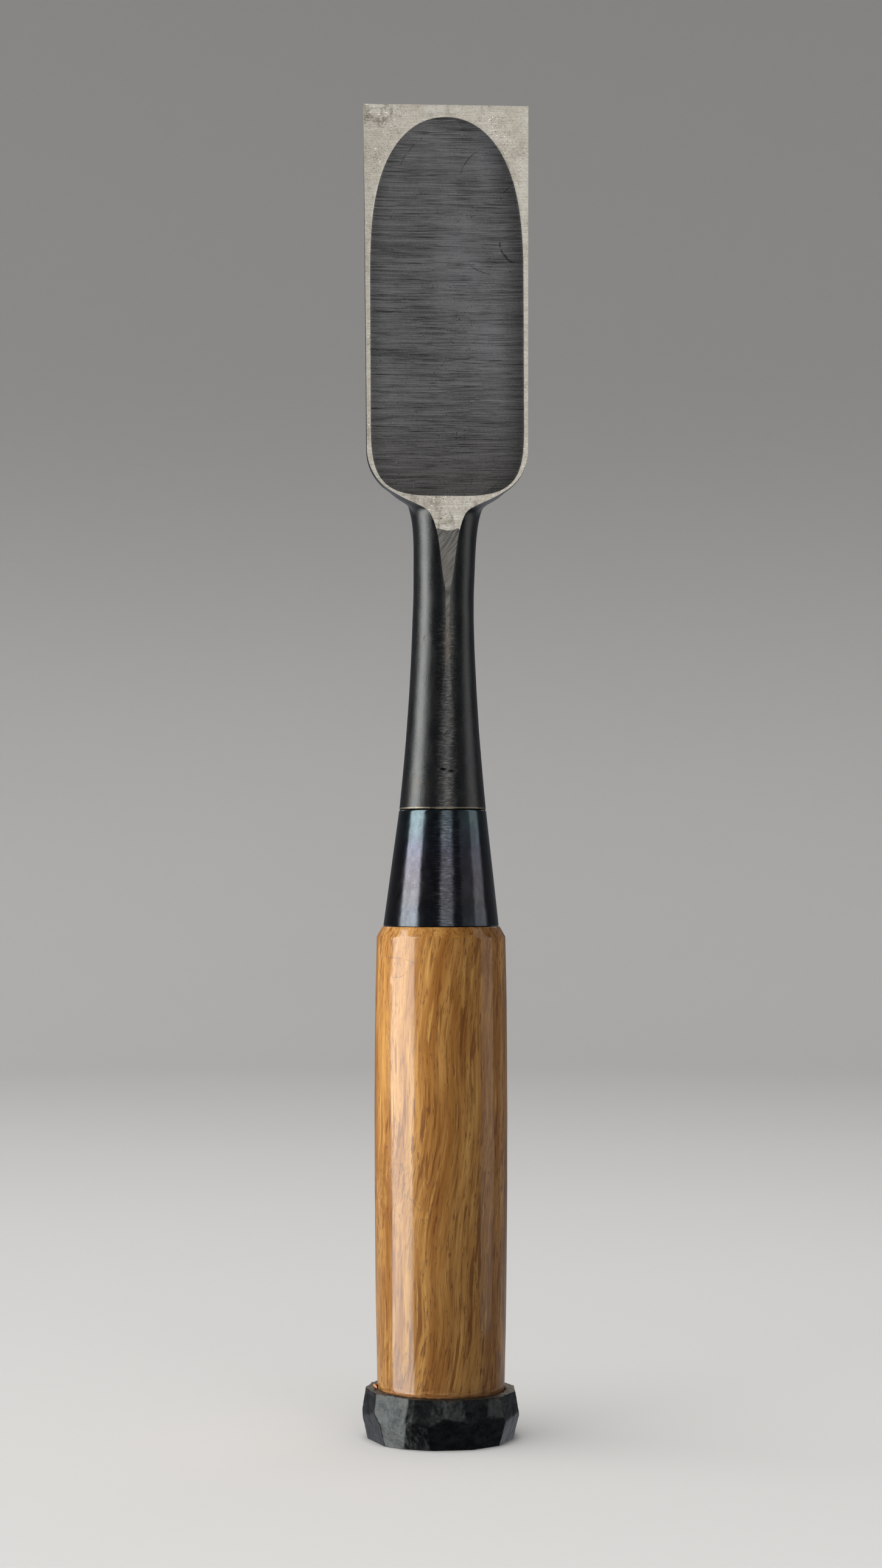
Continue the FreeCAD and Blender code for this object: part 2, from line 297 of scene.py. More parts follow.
def outline_half_width(z):
    """Half width of the blade's plan at height z; zero below the shoulder."""
    if z >= CORNER_Z:
        return ROOT_HALF_WIDTH + (EDGE_HALF_WIDTH - ROOT_HALF_WIDTH) * (z - CORNER_Z) / (EDGE_Z - CORNER_Z)
    foot_z = CORNER_Z - CORNER_RADIUS * math.sin(CORNER_SWEEP)
    centre_x = ROOT_HALF_WIDTH - CORNER_RADIUS
    if z >= foot_z:
        return centre_x + math.sqrt(max(CORNER_RADIUS**2 - (CORNER_Z - z) ** 2, 0.0))
    foot_x = centre_x + CORNER_RADIUS * math.cos(CORNER_SWEEP)
    return max(0.0, foot_x - (foot_z - z) * math.tan(CORNER_SWEEP))


def outline_depth(x, z):
    """How far a point of the blade's plan lies inside its outline, square to the outline."""
    centre_x = ROOT_HALF_WIDTH - CORNER_RADIUS
    beside = outline_half_width(max(z, CORNER_Z)) - x
    if z >= CORNER_Z:
        return beside
    from_centre = CORNER_RADIUS - np.hypot(x - centre_x, CORNER_Z - z)
    direction = np.array([math.cos(CORNER_SWEEP), math.sin(CORNER_SWEEP)])
    below = CORNER_RADIUS - ((x - centre_x) * direction[0] + (CORNER_Z - z) * direction[1])
    in_corner = np.arctan2(CORNER_Z - z, x - centre_x) < CORNER_SWEEP
    return np.where(in_corner & (x > centre_x), from_centre, np.minimum(below, beside))


def blade_front(x, z):
    """Height of the blade's front above its back: walls, bevels at the sides and shoulders, ground bevel."""
    wall, face = taper(z, EDGE_WALL, ROOT_WALL), taper(z, EDGE_THICKNESS, ROOT_THICKNESS)
    inward = np.clip(outline_depth(x, z) / SIDE_BEVEL, 0, 1)
    return np.minimum(wall + (face - wall) * inward, (EDGE_Z - z) * BEVEL_SLOPE)


def hollow_half_width(z):
    """Half width of the hollow at height z: an arch towards the edge, a squarer foot towards the shoulder."""
    arch = np.clip((z - (HOLLOW_TOP - ARCH_LENGTH)) / ARCH_LENGTH, 0, 1)
    base = np.clip((HOLLOW_FOOT + FOOT_LENGTH - z) / FOOT_LENGTH, 0, 1)
    return HOLLOW_HALF_WIDTH * (1 - arch**3) ** (1 / 2.1) * (1 - base**3.8) ** (1 / 3.8)


def hollow_depth(x, z):
    """Depth of the dish below the back: a clear angle at its rim, level towards its middle."""
    half = hollow_half_width(z)
    slope = (hollow_half_width(z + 0.01) - hollow_half_width(z - 0.01)) / 0.02
    inside = np.minimum((half - np.abs(x)) / math.hypot(1, slope), min(HOLLOW_TOP - z, z - HOLLOW_FOOT))
    inside = np.clip(inside / HOLLOW_SLOPE, 0, 1)
    return HOLLOW_DEPTH * (1 - (1 - inside) ** 2)


# Points along half a ring: back middle to hollow rim, rim to back corner, side wall, bevel, front
RIM_STEPS, LAND_STEPS, WALL_STEPS, BEVEL_STEPS, FRONT_STEPS = 28, 6, 8, 18, 20
HALF_STEPS = RIM_STEPS + LAND_STEPS + WALL_STEPS + BEVEL_STEPS + FRONT_STEPS
DIRECTIONS = np.radians(np.linspace(-90, 90, 1441))


def reach_to(outline_x, outline_y, centre_y):
    """Distance from a middle point to an outline, in each of the fixed directions."""
    angle = np.arctan2(outline_y - centre_y, outline_x)
    return np.interp(DIRECTIONS, angle, np.hypot(outline_x, outline_y - centre_y))


def forging_outline(z):
    """Half outline at height z, x >= 0, from the middle of the back to the middle of the front."""
    front_y = BACK_Y + float(blade_front(np.array(0.0), z)) if z > SHOULDER_Z else 0.0
    centre_y = min(BACK_Y + 1.7, BACK_Y + 0.45 * (front_y - BACK_Y))
    up, out = np.sin(DIRECTIONS), np.cos(DIRECTIONS)
    beside_flat = out**3 * (1 - smoothstep(0.0, 0.5, up))
    radius = neck_radius(z) + sideways_spread(z) * beside_flat
    reach = -centre_y * up + np.sqrt((centre_y * up) ** 2 - centre_y**2 + radius**2)
    cap = np.where(up > 1e-6, (swoop(z) - centre_y) / np.maximum(up, 1e-6), 1e9)
    reach = np.minimum(reach, cap) if z > WAIST_Z else reach
    half = outline_half_width(z)
    if half > 3.0:
        across = np.linspace(half, 0, 400)
        wall_x = np.array([0.0, half, half])
        wall_y = np.array([BACK_Y - 6, BACK_Y - 6, BACK_Y])
        front = BACK_Y + blade_front(across, z)
        blade = reach_to(np.append(wall_x, across), np.append(wall_y, front), centre_y)
        if z > SWOOP_HIGH:
            reach = blade
        else:
            fillet = FILLET * smoothstep(3.0, 9.0, half) * (1 - smoothstep(SHOULDER_Z + 3, SWOOP_HIGH, z))
            reach = smooth_max(reach, blade, fillet + 0.01)
    return reach * out, reach * up + centre_y


def forging_half_ring(z):
    """Half a ring of the forging at height z: the back with its hollow, then the side, bevel and front."""
    outline_x, outline_y = forging_outline(z)
    x, y = outline_x, outline_y
    back_y = back_plane(z)
    lowest = int(np.argmax(y >= back_y + 1e-4))
    around_corner = slice(max(lowest - 1, 0), lowest + 1)
    corner_x = float(np.interp(back_y, y[around_corner], x[around_corner]))
    spread = 0.3 + 2.2 * float(smoothstep(TAIL_Z - 8, TAIL_Z - 30, z))
    if corner_x < spread:
        lowest = int(np.argmax(x >= spread))
        corner_x = spread
        back_y = float(y[lowest])
    corner = np.array([corner_x, back_y])
    x, y = np.append(corner[0], x[lowest + 1 :]), np.append(corner[1], y[lowest + 1 :])
    along = np.append(0, np.cumsum(np.hypot(np.diff(x), np.diff(y))))
    wall_y = BACK_Y + min(taper(z, EDGE_WALL, ROOT_WALL), max((EDGE_Z - z) * BEVEL_SLOPE, 0.0) * 0.999)
    wall_at = along[int(np.argmax(y >= wall_y))]
    crease_x = 3.0 + (face_half_width(z) - 3.0) * float(smoothstep(SHOULDER_Z - 6, SHOULDER_Z + 6, z))
    crease_at = along[len(x) - 1 - int(np.argmax(x[::-1] >= crease_x))]
    crease_at = max(crease_at, wall_at + 0.02)
    stops = np.concatenate(
        [
            np.linspace(0, wall_at, WALL_STEPS + 1)[:-1],
            np.linspace(wall_at, crease_at, BEVEL_STEPS + 1)[:-1],
            np.linspace(crease_at, along[-1], FRONT_STEPS + 1),
        ]
    )
    side = np.stack([np.interp(stops, along, x), np.interp(stops, along, y)], axis=1)
    rim_x = float(hollow_half_width(z)) if HOLLOW_FOOT < z < HOLLOW_TOP else 0.0
    rim_x = min(max(rim_x, 0.02), corner_x * 0.97)
    if z < HOLLOW_FOOT:
        rim_x = corner_x * 0.8
    to_rim = np.linspace(0, rim_x, RIM_STEPS + 1)[:-1]
    to_corner = np.linspace(rim_x, corner_x, LAND_STEPS + 1)[:-1]
    back_x = np.append(to_rim, to_corner)
    behind = slice(0, len(DIRECTIONS) // 2)
    outline_back = np.interp(back_x, outline_x[behind], outline_y[behind])
    back = np.stack([back_x, np.maximum(outline_back, back_plane(z))], axis=1)
    if HOLLOW_FOOT < z < HOLLOW_TOP:
        back[:, 1] = BACK_Y + np.where(back_x < rim_x, hollow_depth(back_x, z), 0.0)
    return np.vstack([back, side])


def face_half_width(z):
    """Where the side bevel meets the front: the blade's face, or the ground bevel near the edge."""
    wall, face = taper(z, EDGE_WALL, ROOT_WALL), taper(z, EDGE_THICKNESS, ROOT_THICKNESS)
    height = min(face, (EDGE_Z - z) * BEVEL_SLOPE)
    return outline_half_width(max(z, CORNER_Z)) - SIDE_BEVEL * max(height - wall, 0.0) / (face - wall)


def whole_ring(half, z):
    """Closed ring from a half outline and its mirror image."""
    mirrored = half[-2:0:-1] * [-1, 1]
    flat = np.vstack([half, mirrored])
    return np.column_stack([flat, np.full(len(flat), z)])


def forging_heights():
    """Heights of the rings: close together where the outline turns fast."""
    sweep = np.radians(np.arange(64, 0, -1.6))
    foot_z = CORNER_Z - CORNER_RADIUS * math.sin(CORNER_SWEEP)
    heights = spaced(NECK_Z + 0.2, NECK_Z + 6, 0.4) + spaced(NECK_Z + 6, NECK_Z + 8.4, 0.08)
    heights += spaced(NECK_Z + 8.4, SHOULDER_Z - 2, 0.36)
    heights += spaced(SHOULDER_Z - 2, foot_z - 1.0, 0.12)
    heights += spaced(foot_z - 1.0, foot_z, 0.07)
    heights += list(CORNER_Z - CORNER_RADIUS * np.sin(sweep))
    heights += spaced(CORNER_Z, HOLLOW_TOP - 6, 0.6)
    heights += list(HOLLOW_TOP - 6 * (1 - np.linspace(0, 1, 26)[:-1]) ** 2.2)
    heights += [HOLLOW_TOP - 0.002, HOLLOW_TOP + 0.002]
    heights += spaced(HOLLOW_TOP + 0.2, EDGE_Z, 0.3)
    rim_foot = HOLLOW_FOOT + np.array([-0.002, 0.002, 0.01, 0.03, 0.06, 0.1, 0.16, 0.25])
    return sorted([*heights, *rim_foot, EDGE_Z - 0.08, EDGE_Z - 0.02])


def soften_shoulder(halves, heights):
    """Rounds the crease where the shoulders run into the neck, by averaging the sides of nearby rings."""
    heights = np.array(heights)
    apart = (heights[:, None] - heights[None, :]) / SHOULDER_SOFTNESS
    near = np.exp(-0.5 * apart**2) * np.gradient(heights)
    near /= near.sum(axis=1, keepdims=True)
    corner = RIM_STEPS + LAND_STEPS
    sides = np.einsum("ij,jkl->ikl", near, halves[:, corner:])
    share = smoothstep(SHOULDER_Z - 6, SHOULDER_Z - 4, heights)
    share = share * (1 - smoothstep(SHOULDER_Z + 1.4, SHOULDER_Z + 3, heights))
    old_corner = halves[:, corner, 0].copy()
    halves[:, corner:] += share[:, None, None] * (sides - halves[:, corner:])
    halves[:, corner, 1] = [max(y, back_plane(z)) for y, z in zip(halves[:, corner, 1], heights)]
    grown = halves[:, corner, 0] / old_corner
    below = heights < HOLLOW_FOOT
    halves[below, :corner, 0] *= grown[below, None]
    steps = np.linspace(0, 1, LAND_STEPS + 1)[:-1]
    rim = halves[~below, RIM_STEPS, 0]
    halves[~below, RIM_STEPS:corner, 0] = rim[:, None] + (halves[~below, corner, 0] - rim)[:, None] * steps
    return halves


def tang_rings():
    """Rings of the square tapered tang, ending in the neck's round seat."""
    around = 2 * HALF_STEPS
    lengthwise = [(TANG_Z, TANG_TIP / 2 - 0.4)]
    for share in np.linspace(0, 1, 8):
        z = TANG_Z + 0.5 + (NECK_Z - TANG_Z - 0.5) * share
        lengthwise.append((z, (TANG_TIP + (TANG_ROOT - TANG_TIP) * share) / 2))
    profile = [(half, z, 1.0) for z, half in lengthwise]
    profile += [(5.5, NECK_Z, 0.3), (SEAT_RADIUS - 0.25, NECK_Z, 0.0)]
    profile.append((SEAT_RADIUS - 0.06, NECK_Z + 0.06, 0.0))
    return turned_rings(profile, around)


# Nicks in the neck: (azimuth to the right of the front, height above the ferrule, wide, tall, depth)
NICKS = [
    (-5, 7.3, 5, 0.16, 0.14), (9, 7.0, 6, 0.14, 0.10), (4, 13.8, 5, 0.3, 0.10), (-38, 31.5, 6, 0.4, 0.07),
    (24, 3.4, 7, 0.3, 0.06), (-48, 6.8, 9, 0.4, 0.05), (140, 12.0, 12, 0.5, 0.12), (200, 20.0, 9, 0.8, 0.10),
]


def hammer_and_knock(rings):
    """Slight unevenness of the forged neck and its nicks; the dressed flat and the blade are left alone."""
    z = rings[..., 2]
    radius = np.hypot(rings[..., 0], rings[..., 1])
    flat_y = np.array([back_plane(max(ring[0, 2], NECK_Z)) for ring in rings])[:, None]
    round_part = smoothstep(0.03, 0.35, rings[..., 1] - flat_y)
    round_part = np.where(z < TAIL_Z - 9, 1.0, round_part)
    on_neck = (z > NECK_Z + 0.05) * (1 - smoothstep(SHOULDER_Z - 9, SHOULDER_Z - 4, z)) * round_part
    amount = 0.022 * ring_noise(rings, 4.0, 3, 61, 2.5)
    for azimuth, height, wide, tall, depth in NICKS:
        amount = amount + dent(rings, azimuth, NECK_Z + height, wide, tall, depth)
    rings[..., :2] *= (1 + on_neck * amount / np.maximum(radius, 1e-6))[..., None]
    return rings


def forging():
    """Closed mesh of blade, neck and tang in one."""
    heights = forging_heights()
    halves = soften_shoulder(np.array([forging_half_ring(z) for z in heights]), heights)
    rings = np.array([whole_ring(half, z) for half, z in zip(halves, heights)])
    rings = np.concatenate([tang_rings(), hammer_and_knock(rings)])
    points, faces = skin(rings)
    return make_object("forging", points, faces)


def region_of_hard_steel():
    """Block standing for the hard steel: a wavy sheet behind the back, turned up along both sides."""
    inner, outer = ROOT_HALF_WIDTH - WRAP_THICKNESS + 0.4, ROOT_HALF_WIDTH + 3.0
    columns = [-outer, -inner - 0.04, *np.linspace(-inner + 0.04, inner - 0.04, 40), inner + 0.04, outer]
    columns = np.array(columns)
    heights = np.array([*spaced(STEEL_TAIL_Z - SCARF, EDGE_Z + 3, 0.7), EDGE_Z + 3])
    x, z = np.meshgrid(columns, heights)
    spots = np.column_stack([x.ravel(), np.zeros(x.size), z.ravel()])
    wave = layered_noise(spots, 9.0, 3, seed=3).reshape(x.shape)
    sheet = BACK_Y + STEEL_THICKNESS + 0.16 * wave
    sheet -= (STEEL_THICKNESS + 1.2) * (1 - smoothstep(STEEL_TAIL_Z - SCARF, STEEL_TAIL_Z + SCARF * 0.6, z))
    ragged = layered_noise(spots, 1.8, 2, seed=4).reshape(x.shape)
    sheet += 0.7 * ragged * (1 - smoothstep(STEEL_TAIL_Z, STEEL_TAIL_Z + 4, z))
    lift = np.clip((z - WRAP_Z - 3.0 - 1.5 * wave) / 4.0, 0, 1) * 14.0
    sheet = np.where(np.abs(x) > inner, np.maximum(sheet, BACK_Y + STEEL_THICKNESS + lift), sheet)
    x = x + np.where((np.abs(x) < outer - 0.1) & (np.abs(x) > inner - 0.1), 0.14 * wave * np.sign(x), 0.0)
    top = np.stack([x, sheet, z], axis=2)
    bottom = np.stack([x, np.full(x.shape, BACK_Y - 4.0), z], axis=2)
    rows, across = x.shape
    loops = np.concatenate([top, bottom[:, ::-1]], axis=1)
    points = loops.reshape(-1, 3)
    around = 2 * across
    faces = []
    for low in range(0, (rows - 1) * around, around):
        inside_out = band(low, low + around, around)[:, ::-1]
        faces += np.roll(inside_out, 1, axis=1).tolist()
    last = (rows - 1) * around
    faces.append(list(range(around)))
    faces.append([last + k for k in range(around)][::-1])
    return make_object("region", points, faces)


def cut(obj, other, operation, name):
    """New object: obj with other taken away, or the part they share."""
    result = link_new(name, obj.data.copy())
    modifier = result.modifiers.new("cut", "BOOLEAN")
    modifier.operation = operation
    modifier.object = other
    modifier.solver = "EXACT"
    graph = bpy.context.evaluated_depsgraph_get()
    mesh = bpy.data.meshes.new_from_object(result.evaluated_get(graph))
    result.modifiers.clear()
    result.data = mesh
    mesh.name = name
    mesh.shade_smooth()
    mesh.set_sharp_from_angle(angle=math.radians(30))
    return result


def laminated_blade():
    """The forging split into its hard steel and its soft iron."""
    whole, region = forging(), region_of_hard_steel()
    steel = cut(whole, region, "INTERSECT", "blade_hard_steel")
    iron = cut(whole, region, "DIFFERENCE", "blade_and_neck_iron")
    for helper in (whole, region):
        bpy.data.objects.remove(helper)
    return steel, iron


steel, iron = laminated_blade()

# ---------------------------------------------------------------- ferrule, handle and hoop

FERRULE_FOOT, FERRULE_BORE = FERRULE_HIGH[0], 9.25
FERRULE_TOP_BORE = 6.75
HANDLE_MOUTH, HANDLE_SHOULDER = 10.8, LEDGE_Z - 1.9
HANDLE_AROUND, FERRULE_AROUND, HOOP_AROUND = 320, 300, 560
HOOP_BORE = 11.45
MORTISE_FLOOR = TANG_Z - 2.5
HOOP_RIDGE_Z = HOOP_Z * 0.5


def closed_tube(rings):
    """Points and faces of rings joined round in both directions."""
    rings = np.asarray(rings)
    ring_count, around = rings.shape[:2]
    faces = []
    for k in range(ring_count):
        faces += band(k * around, ((k + 1) % ring_count) * around, around).tolist()
    return rings.reshape(-1, 3), faces


def ferrule():
    """Conical socket, open at both ends, with softly rounded rims."""
    outer = [(FERRULE_FOOT, LEDGE_Z), (SEAT_RADIUS, NECK_Z)]
    foot = (FERRULE_BORE, LEDGE_Z + 0.02)
    corners = [foot, *outer, (FERRULE_TOP_BORE, NECK_Z), foot]
    profile = refine(rounded_profile(corners, 0.28), 0.28)[:-1]
    rings = turned_rings([(p[0], p[1], 0.0) for p in profile], FERRULE_AROUND)
    bore = FERRULE_BORE + (FERRULE_TOP_BORE - FERRULE_BORE) * (rings[..., 2] - LEDGE_Z) / (NECK_Z - LEDGE_Z)
    uneven = 0.016 * ring_noise(rings, 8, 2, 21, 3) + 0.004 * ring_noise(rings, 1.1, 2, 22)
    push_out(rings, on_outside(rings, bore + 0.5) * uneven)
    points, faces = closed_tube(rings)
    return make_object("ferrule_blued", points, faces)


def handle():
    """Turned grip with a nose for the ferrule and a square tapered mortise for the tang."""
    outside = [
        (0.4, 0.0), (11.1, 0.0), (11.42, 0.3), (11.72, HOOP_Z), (11.93, 20.0), (12.08, 32.4), (12.2, 46.0),
        (12.24, 59.0), (12.2, 70.0), (12.12, 80.5), (11.87, HANDLE_SHOULDER), (HANDLE_MOUTH, LEDGE_Z),
        (FERRULE_BORE - 0.02, LEDGE_Z), (FERRULE_TOP_BORE + 0.03, NOSE_Z),
    ]
    profile = refine(rounded_profile(outside, 0.18), 0.52)
    rings = [(p[0], p[1], 0.0) for p in profile]
    mouth = TANG_ROOT / 2 + 0.04
    rings += [(mouth + 1.4, NOSE_Z, 0.4), (mouth, NOSE_Z, 1.0)]
    for share in np.linspace(0, 1, 12)[1:]:
        half = mouth + (TANG_TIP / 2 + 0.02 - mouth) * share
        rings.append((half, NOSE_Z + (MORTISE_FLOOR - NOSE_Z) * share, 1.0))
    rings.append((0.4, MORTISE_FLOOR, 1.0))
    rings = turned_rings(rings, HANDLE_AROUND)
    grip = on_outside(rings, FERRULE_BORE + 0.3) * smoothstep(0.0, 0.6, rings[..., 2])
    sanding = 0.05 * ring_noise(rings, 9, 2, 31, 5) + 0.012 * ring_noise(rings, 1.6, 2, 32, 9)
    knocks = dent(rings, -38, 88.0, 4, 0.5, 0.16) + dent(rings, -47, 84.6, 5, 0.35, 0.12)
    knocks += dent(rings, -12, 90.2, 3, 0.4, 0.10) + dent(rings, 20, 31.0, 3, 1.2, 0.07)
    knocks += dent(rings, 150, 60.0, 6, 1.2, 0.12) + dent(rings, 100, 25.0, 4, 2.0, 0.10)
    push_out(rings, grip * (sanding + knocks))
    points, faces = skin(rings)
    return make_object("handle_oak", points, faces)


# Hoop facets: (middle azimuth, half width, depth, lean), azimuth in degrees to the right of the front
UPPER_FACETS = [
    (-76, 15, 0.00, 0.9), (-44, 14, 0.06, 1.1), (-26, 7, -0.02, 0.9), (-17, 3, 0.02, 1.2),
    (-6, 9, 0.02, 0.9), (8, 8, 0.06, 1.1), (23, 9, 0.00, 1.2), (40, 9, 0.00, 0.8), (63, 14, 0.04, 1.0),
    (88, 12, 0.00, 1.1),
]
LOWER_FACETS = [
    (-70, 17, 0.04, 1.0), (-41, 12, 0.02, 0.9), (-21, 9, 0.00, 1.2), (4, 17, 0.08, 1.0), (36, 16, 0.02, 0.9),
    (65, 15, 0.06, 1.1), (90, 12, 0.00, 0.9),
]


def rest_of_the_way_round(facets, count, seed):
    """Facets seen from the front, followed by uneven ones round the back."""
    draw = np.random.default_rng(seed)
    start = facets[-1][0] + facets[-1][1]
    span = 360 + facets[0][0] - facets[0][1] - start
    shares = draw.uniform(0.7, 1.3, count)
    widths = span * shares / shares.sum()
    middles = start + np.cumsum(widths) - widths / 2
    extra = [(m, w / 2, draw.uniform(-0.04, 0.12), draw.uniform(0.8, 1.25)) for m, w in zip(middles, widths)]
    return [*facets, *extra]


def facet_radius(turn, rise, facets, radius, slope):
    """Radius of the flats hammered round one tier; rise is the height above the ridge."""
    nearest = np.full(turn.shape, 1e9)
    for middle, half, depth, lean in facets:
        away = np.radians((turn - middle + 180) % 360 - 180)
        flat = radius * math.cos(math.radians(half)) ** 0.8 - depth - slope * lean * rise
        reach = np.where(np.abs(away) < 1.3, flat / np.maximum(np.cos(away), 0.2), 1e9)
        nearest = -smooth_max(-nearest, -reach, 0.12)
    return nearest


def hoop():
    """Iron hoop hammered into uneven flats in two tiers that meet in a ridge at mid-height."""
    ridge, inner = HOOP_HIGH[0] + 0.12, HOOP_BORE
    corners = [
        (inner, 0.15), (13.3, 0.0), (ridge, HOOP_RIDGE_Z), (13.75, HOOP_Z - 0.35), (12.6, HOOP_Z - 0.02),
        (inner + 0.36, HOOP_Z - 0.12), (inner, 0.15),
    ]
    profile = refine(rounded_profile(corners, 0.3), 0.14)[:-1]
    rings = turned_rings([(p[0], p[1], 0.0) for p in profile], HOOP_AROUND)
    turn = np.degrees(np.arctan2(rings[..., 0], -rings[..., 1]))
    radius = np.hypot(rings[..., 0], rings[..., 1])
    rise = rings[..., 2] - HOOP_RIDGE_Z
    above = facet_radius(turn, rise, rest_of_the_way_round(UPPER_FACETS, 6, 5), ridge, 0.16)
    below = facet_radius(turn, -rise, rest_of_the_way_round(LOWER_FACETS, 6, 6), ridge - 0.02, 0.25)
    hammered = -smooth_max(-above, -below, 0.16)
    limit = np.minimum(radius, hammered)
    outer = smoothstep(inner + 0.8, inner + 1.5, radius)
    scale = 0.06 * ring_noise(rings, 3.2, 3, 41) + 0.02 * ring_noise(rings, 0.7, 2, 42)
    target = np.where(radius > 13.2, hammered, limit)
    push_out(rings, outer * (target - radius + scale - 0.03))
    top = smoothstep(HOOP_Z - 0.6, HOOP_Z - 0.3, rings[..., 2]) * smoothstep(inner + 0.3, inner + 0.6, radius)
    lift = 0.25 - 0.3 * np.sin(np.radians(turn))
    rings[..., 2] += top * (lift * 0.6 + 0.1 * ring_noise(rings, 1.2, 3, 44))
    points, faces = closed_tube(rings)
    return make_object("hoop_hammered", points, faces, 40)


def splinter():
    """Sliver of wood shaved up by the hoop's rim, curling away from the grip."""
    turn = math.radians(-80)
    outward = np.array([math.sin(turn), -math.cos(turn), 0.0])
    sideways = np.array([math.cos(turn), math.sin(turn), 0.0])
    rings = []
    for t in np.linspace(0, 1, 22):
        curl = 2.9 * t
        centre = outward * (11.72 + 0.75 * math.sin(0.85 * curl) + 0.2 * t) + sideways * (-1.5 + 3.0 * t)
        centre = centre + np.array([0, 0, HOOP_Z + 0.15 + 0.85 * math.sin(2.3 * t + 0.2)])
        width, thick = 0.46 * (1 - 0.7 * t), 0.12 * (1 - 0.6 * t)
        across = np.array([0, 0, 1.0]) * math.cos(curl) + outward * math.sin(curl)
        through = outward * math.cos(curl) - np.array([0, 0, 1.0]) * math.sin(curl)
        angles = np.linspace(0, 2 * math.pi, 10, endpoint=False)
        rings.append([centre + across * width * math.cos(a) + through * thick * math.sin(a) for a in angles])
    points, faces = skin(rings)
    return make_object("handle_splinter", points, faces, 60)


ferrule_piece, handle_piece, hoop_piece, splinter_piece = ferrule(), handle(), hoop(), splinter()

# How far the pieces stand to one side at these heights, and how much the neck is skewed
LEAN_HEIGHTS = [LEDGE_Z, NECK_Z, NECK_Z + 35, SHOULDER_Z + 3, EDGE_Z]
LEAN_MM = [0.0, 0.3, 0.38, 0.92, 0.62]
SKEW_HEIGHTS = [NECK_Z, NECK_Z + 15, NECK_Z + 34, NECK_Z + 50, SHOULDER_Z + 3]
SKEW = [0.0, 0.04, 0.10, 0.05, 0.0]


def set_by_hand(piece):
    """Hand fitting: the piece leans a fraction of a millimetre to one side, and its neck is a bit skewed."""
    count = len(piece.data.vertices)
    places = np.empty(count * 3)
    piece.data.vertices.foreach_get("co", places)
    places = places.reshape(count, 3)
    heights = places[:, 2] / MM
    places[:, 0] += np.interp(heights, LEAN_HEIGHTS, LEAN_MM) * MM
    places[:, 0] -= np.interp(heights, SKEW_HEIGHTS, SKEW) * places[:, 1]
    piece.data.vertices.foreach_set("co", places.ravel())


for piece in (steel, iron, ferrule_piece, handle_piece):
    set_by_hand(piece)

# ---------------------------------------------------------------- materials


class Graph:
    """Short ways to add nodes to the tree of a material or a world."""

    def __init__(self, tree):
        self.tree = tree

    def put(self, socket, value):
        """Links a socket to another, or sets its value."""
        if isinstance(value, bpy.types.NodeSocket):
            self.tree.links.new(value, socket)
        elif socket.type == "RGBA" and len(value) == 3:
            socket.default_value = (*value, 1)
        else:
            socket.default_value = value

    def node(self, kind, inputs, **settings):
        made = self.tree.nodes.new(kind)
        for key, value in settings.items():
            setattr(made, key, value)
        for key, value in inputs.items():
            self.put(made.inputs[key], value)
        return made

    def vector(self, operation, a, b):
        return self.node("ShaderNodeVectorMath", {0: a, 1: b}, operation=operation).outputs[0]

    def parts(self, vector):
        return self.node("ShaderNodeSeparateXYZ", {0: vector}).outputs

    def join(self, x, y, z):
        return self.node("ShaderNodeCombineXYZ", {0: x, 1: y, 2: z}).outputs[0]

    def math(self, operation, a, b=0.0):
        return self.node("ShaderNodeMath", {0: a, 1: b}, operation=operation).outputs[0]


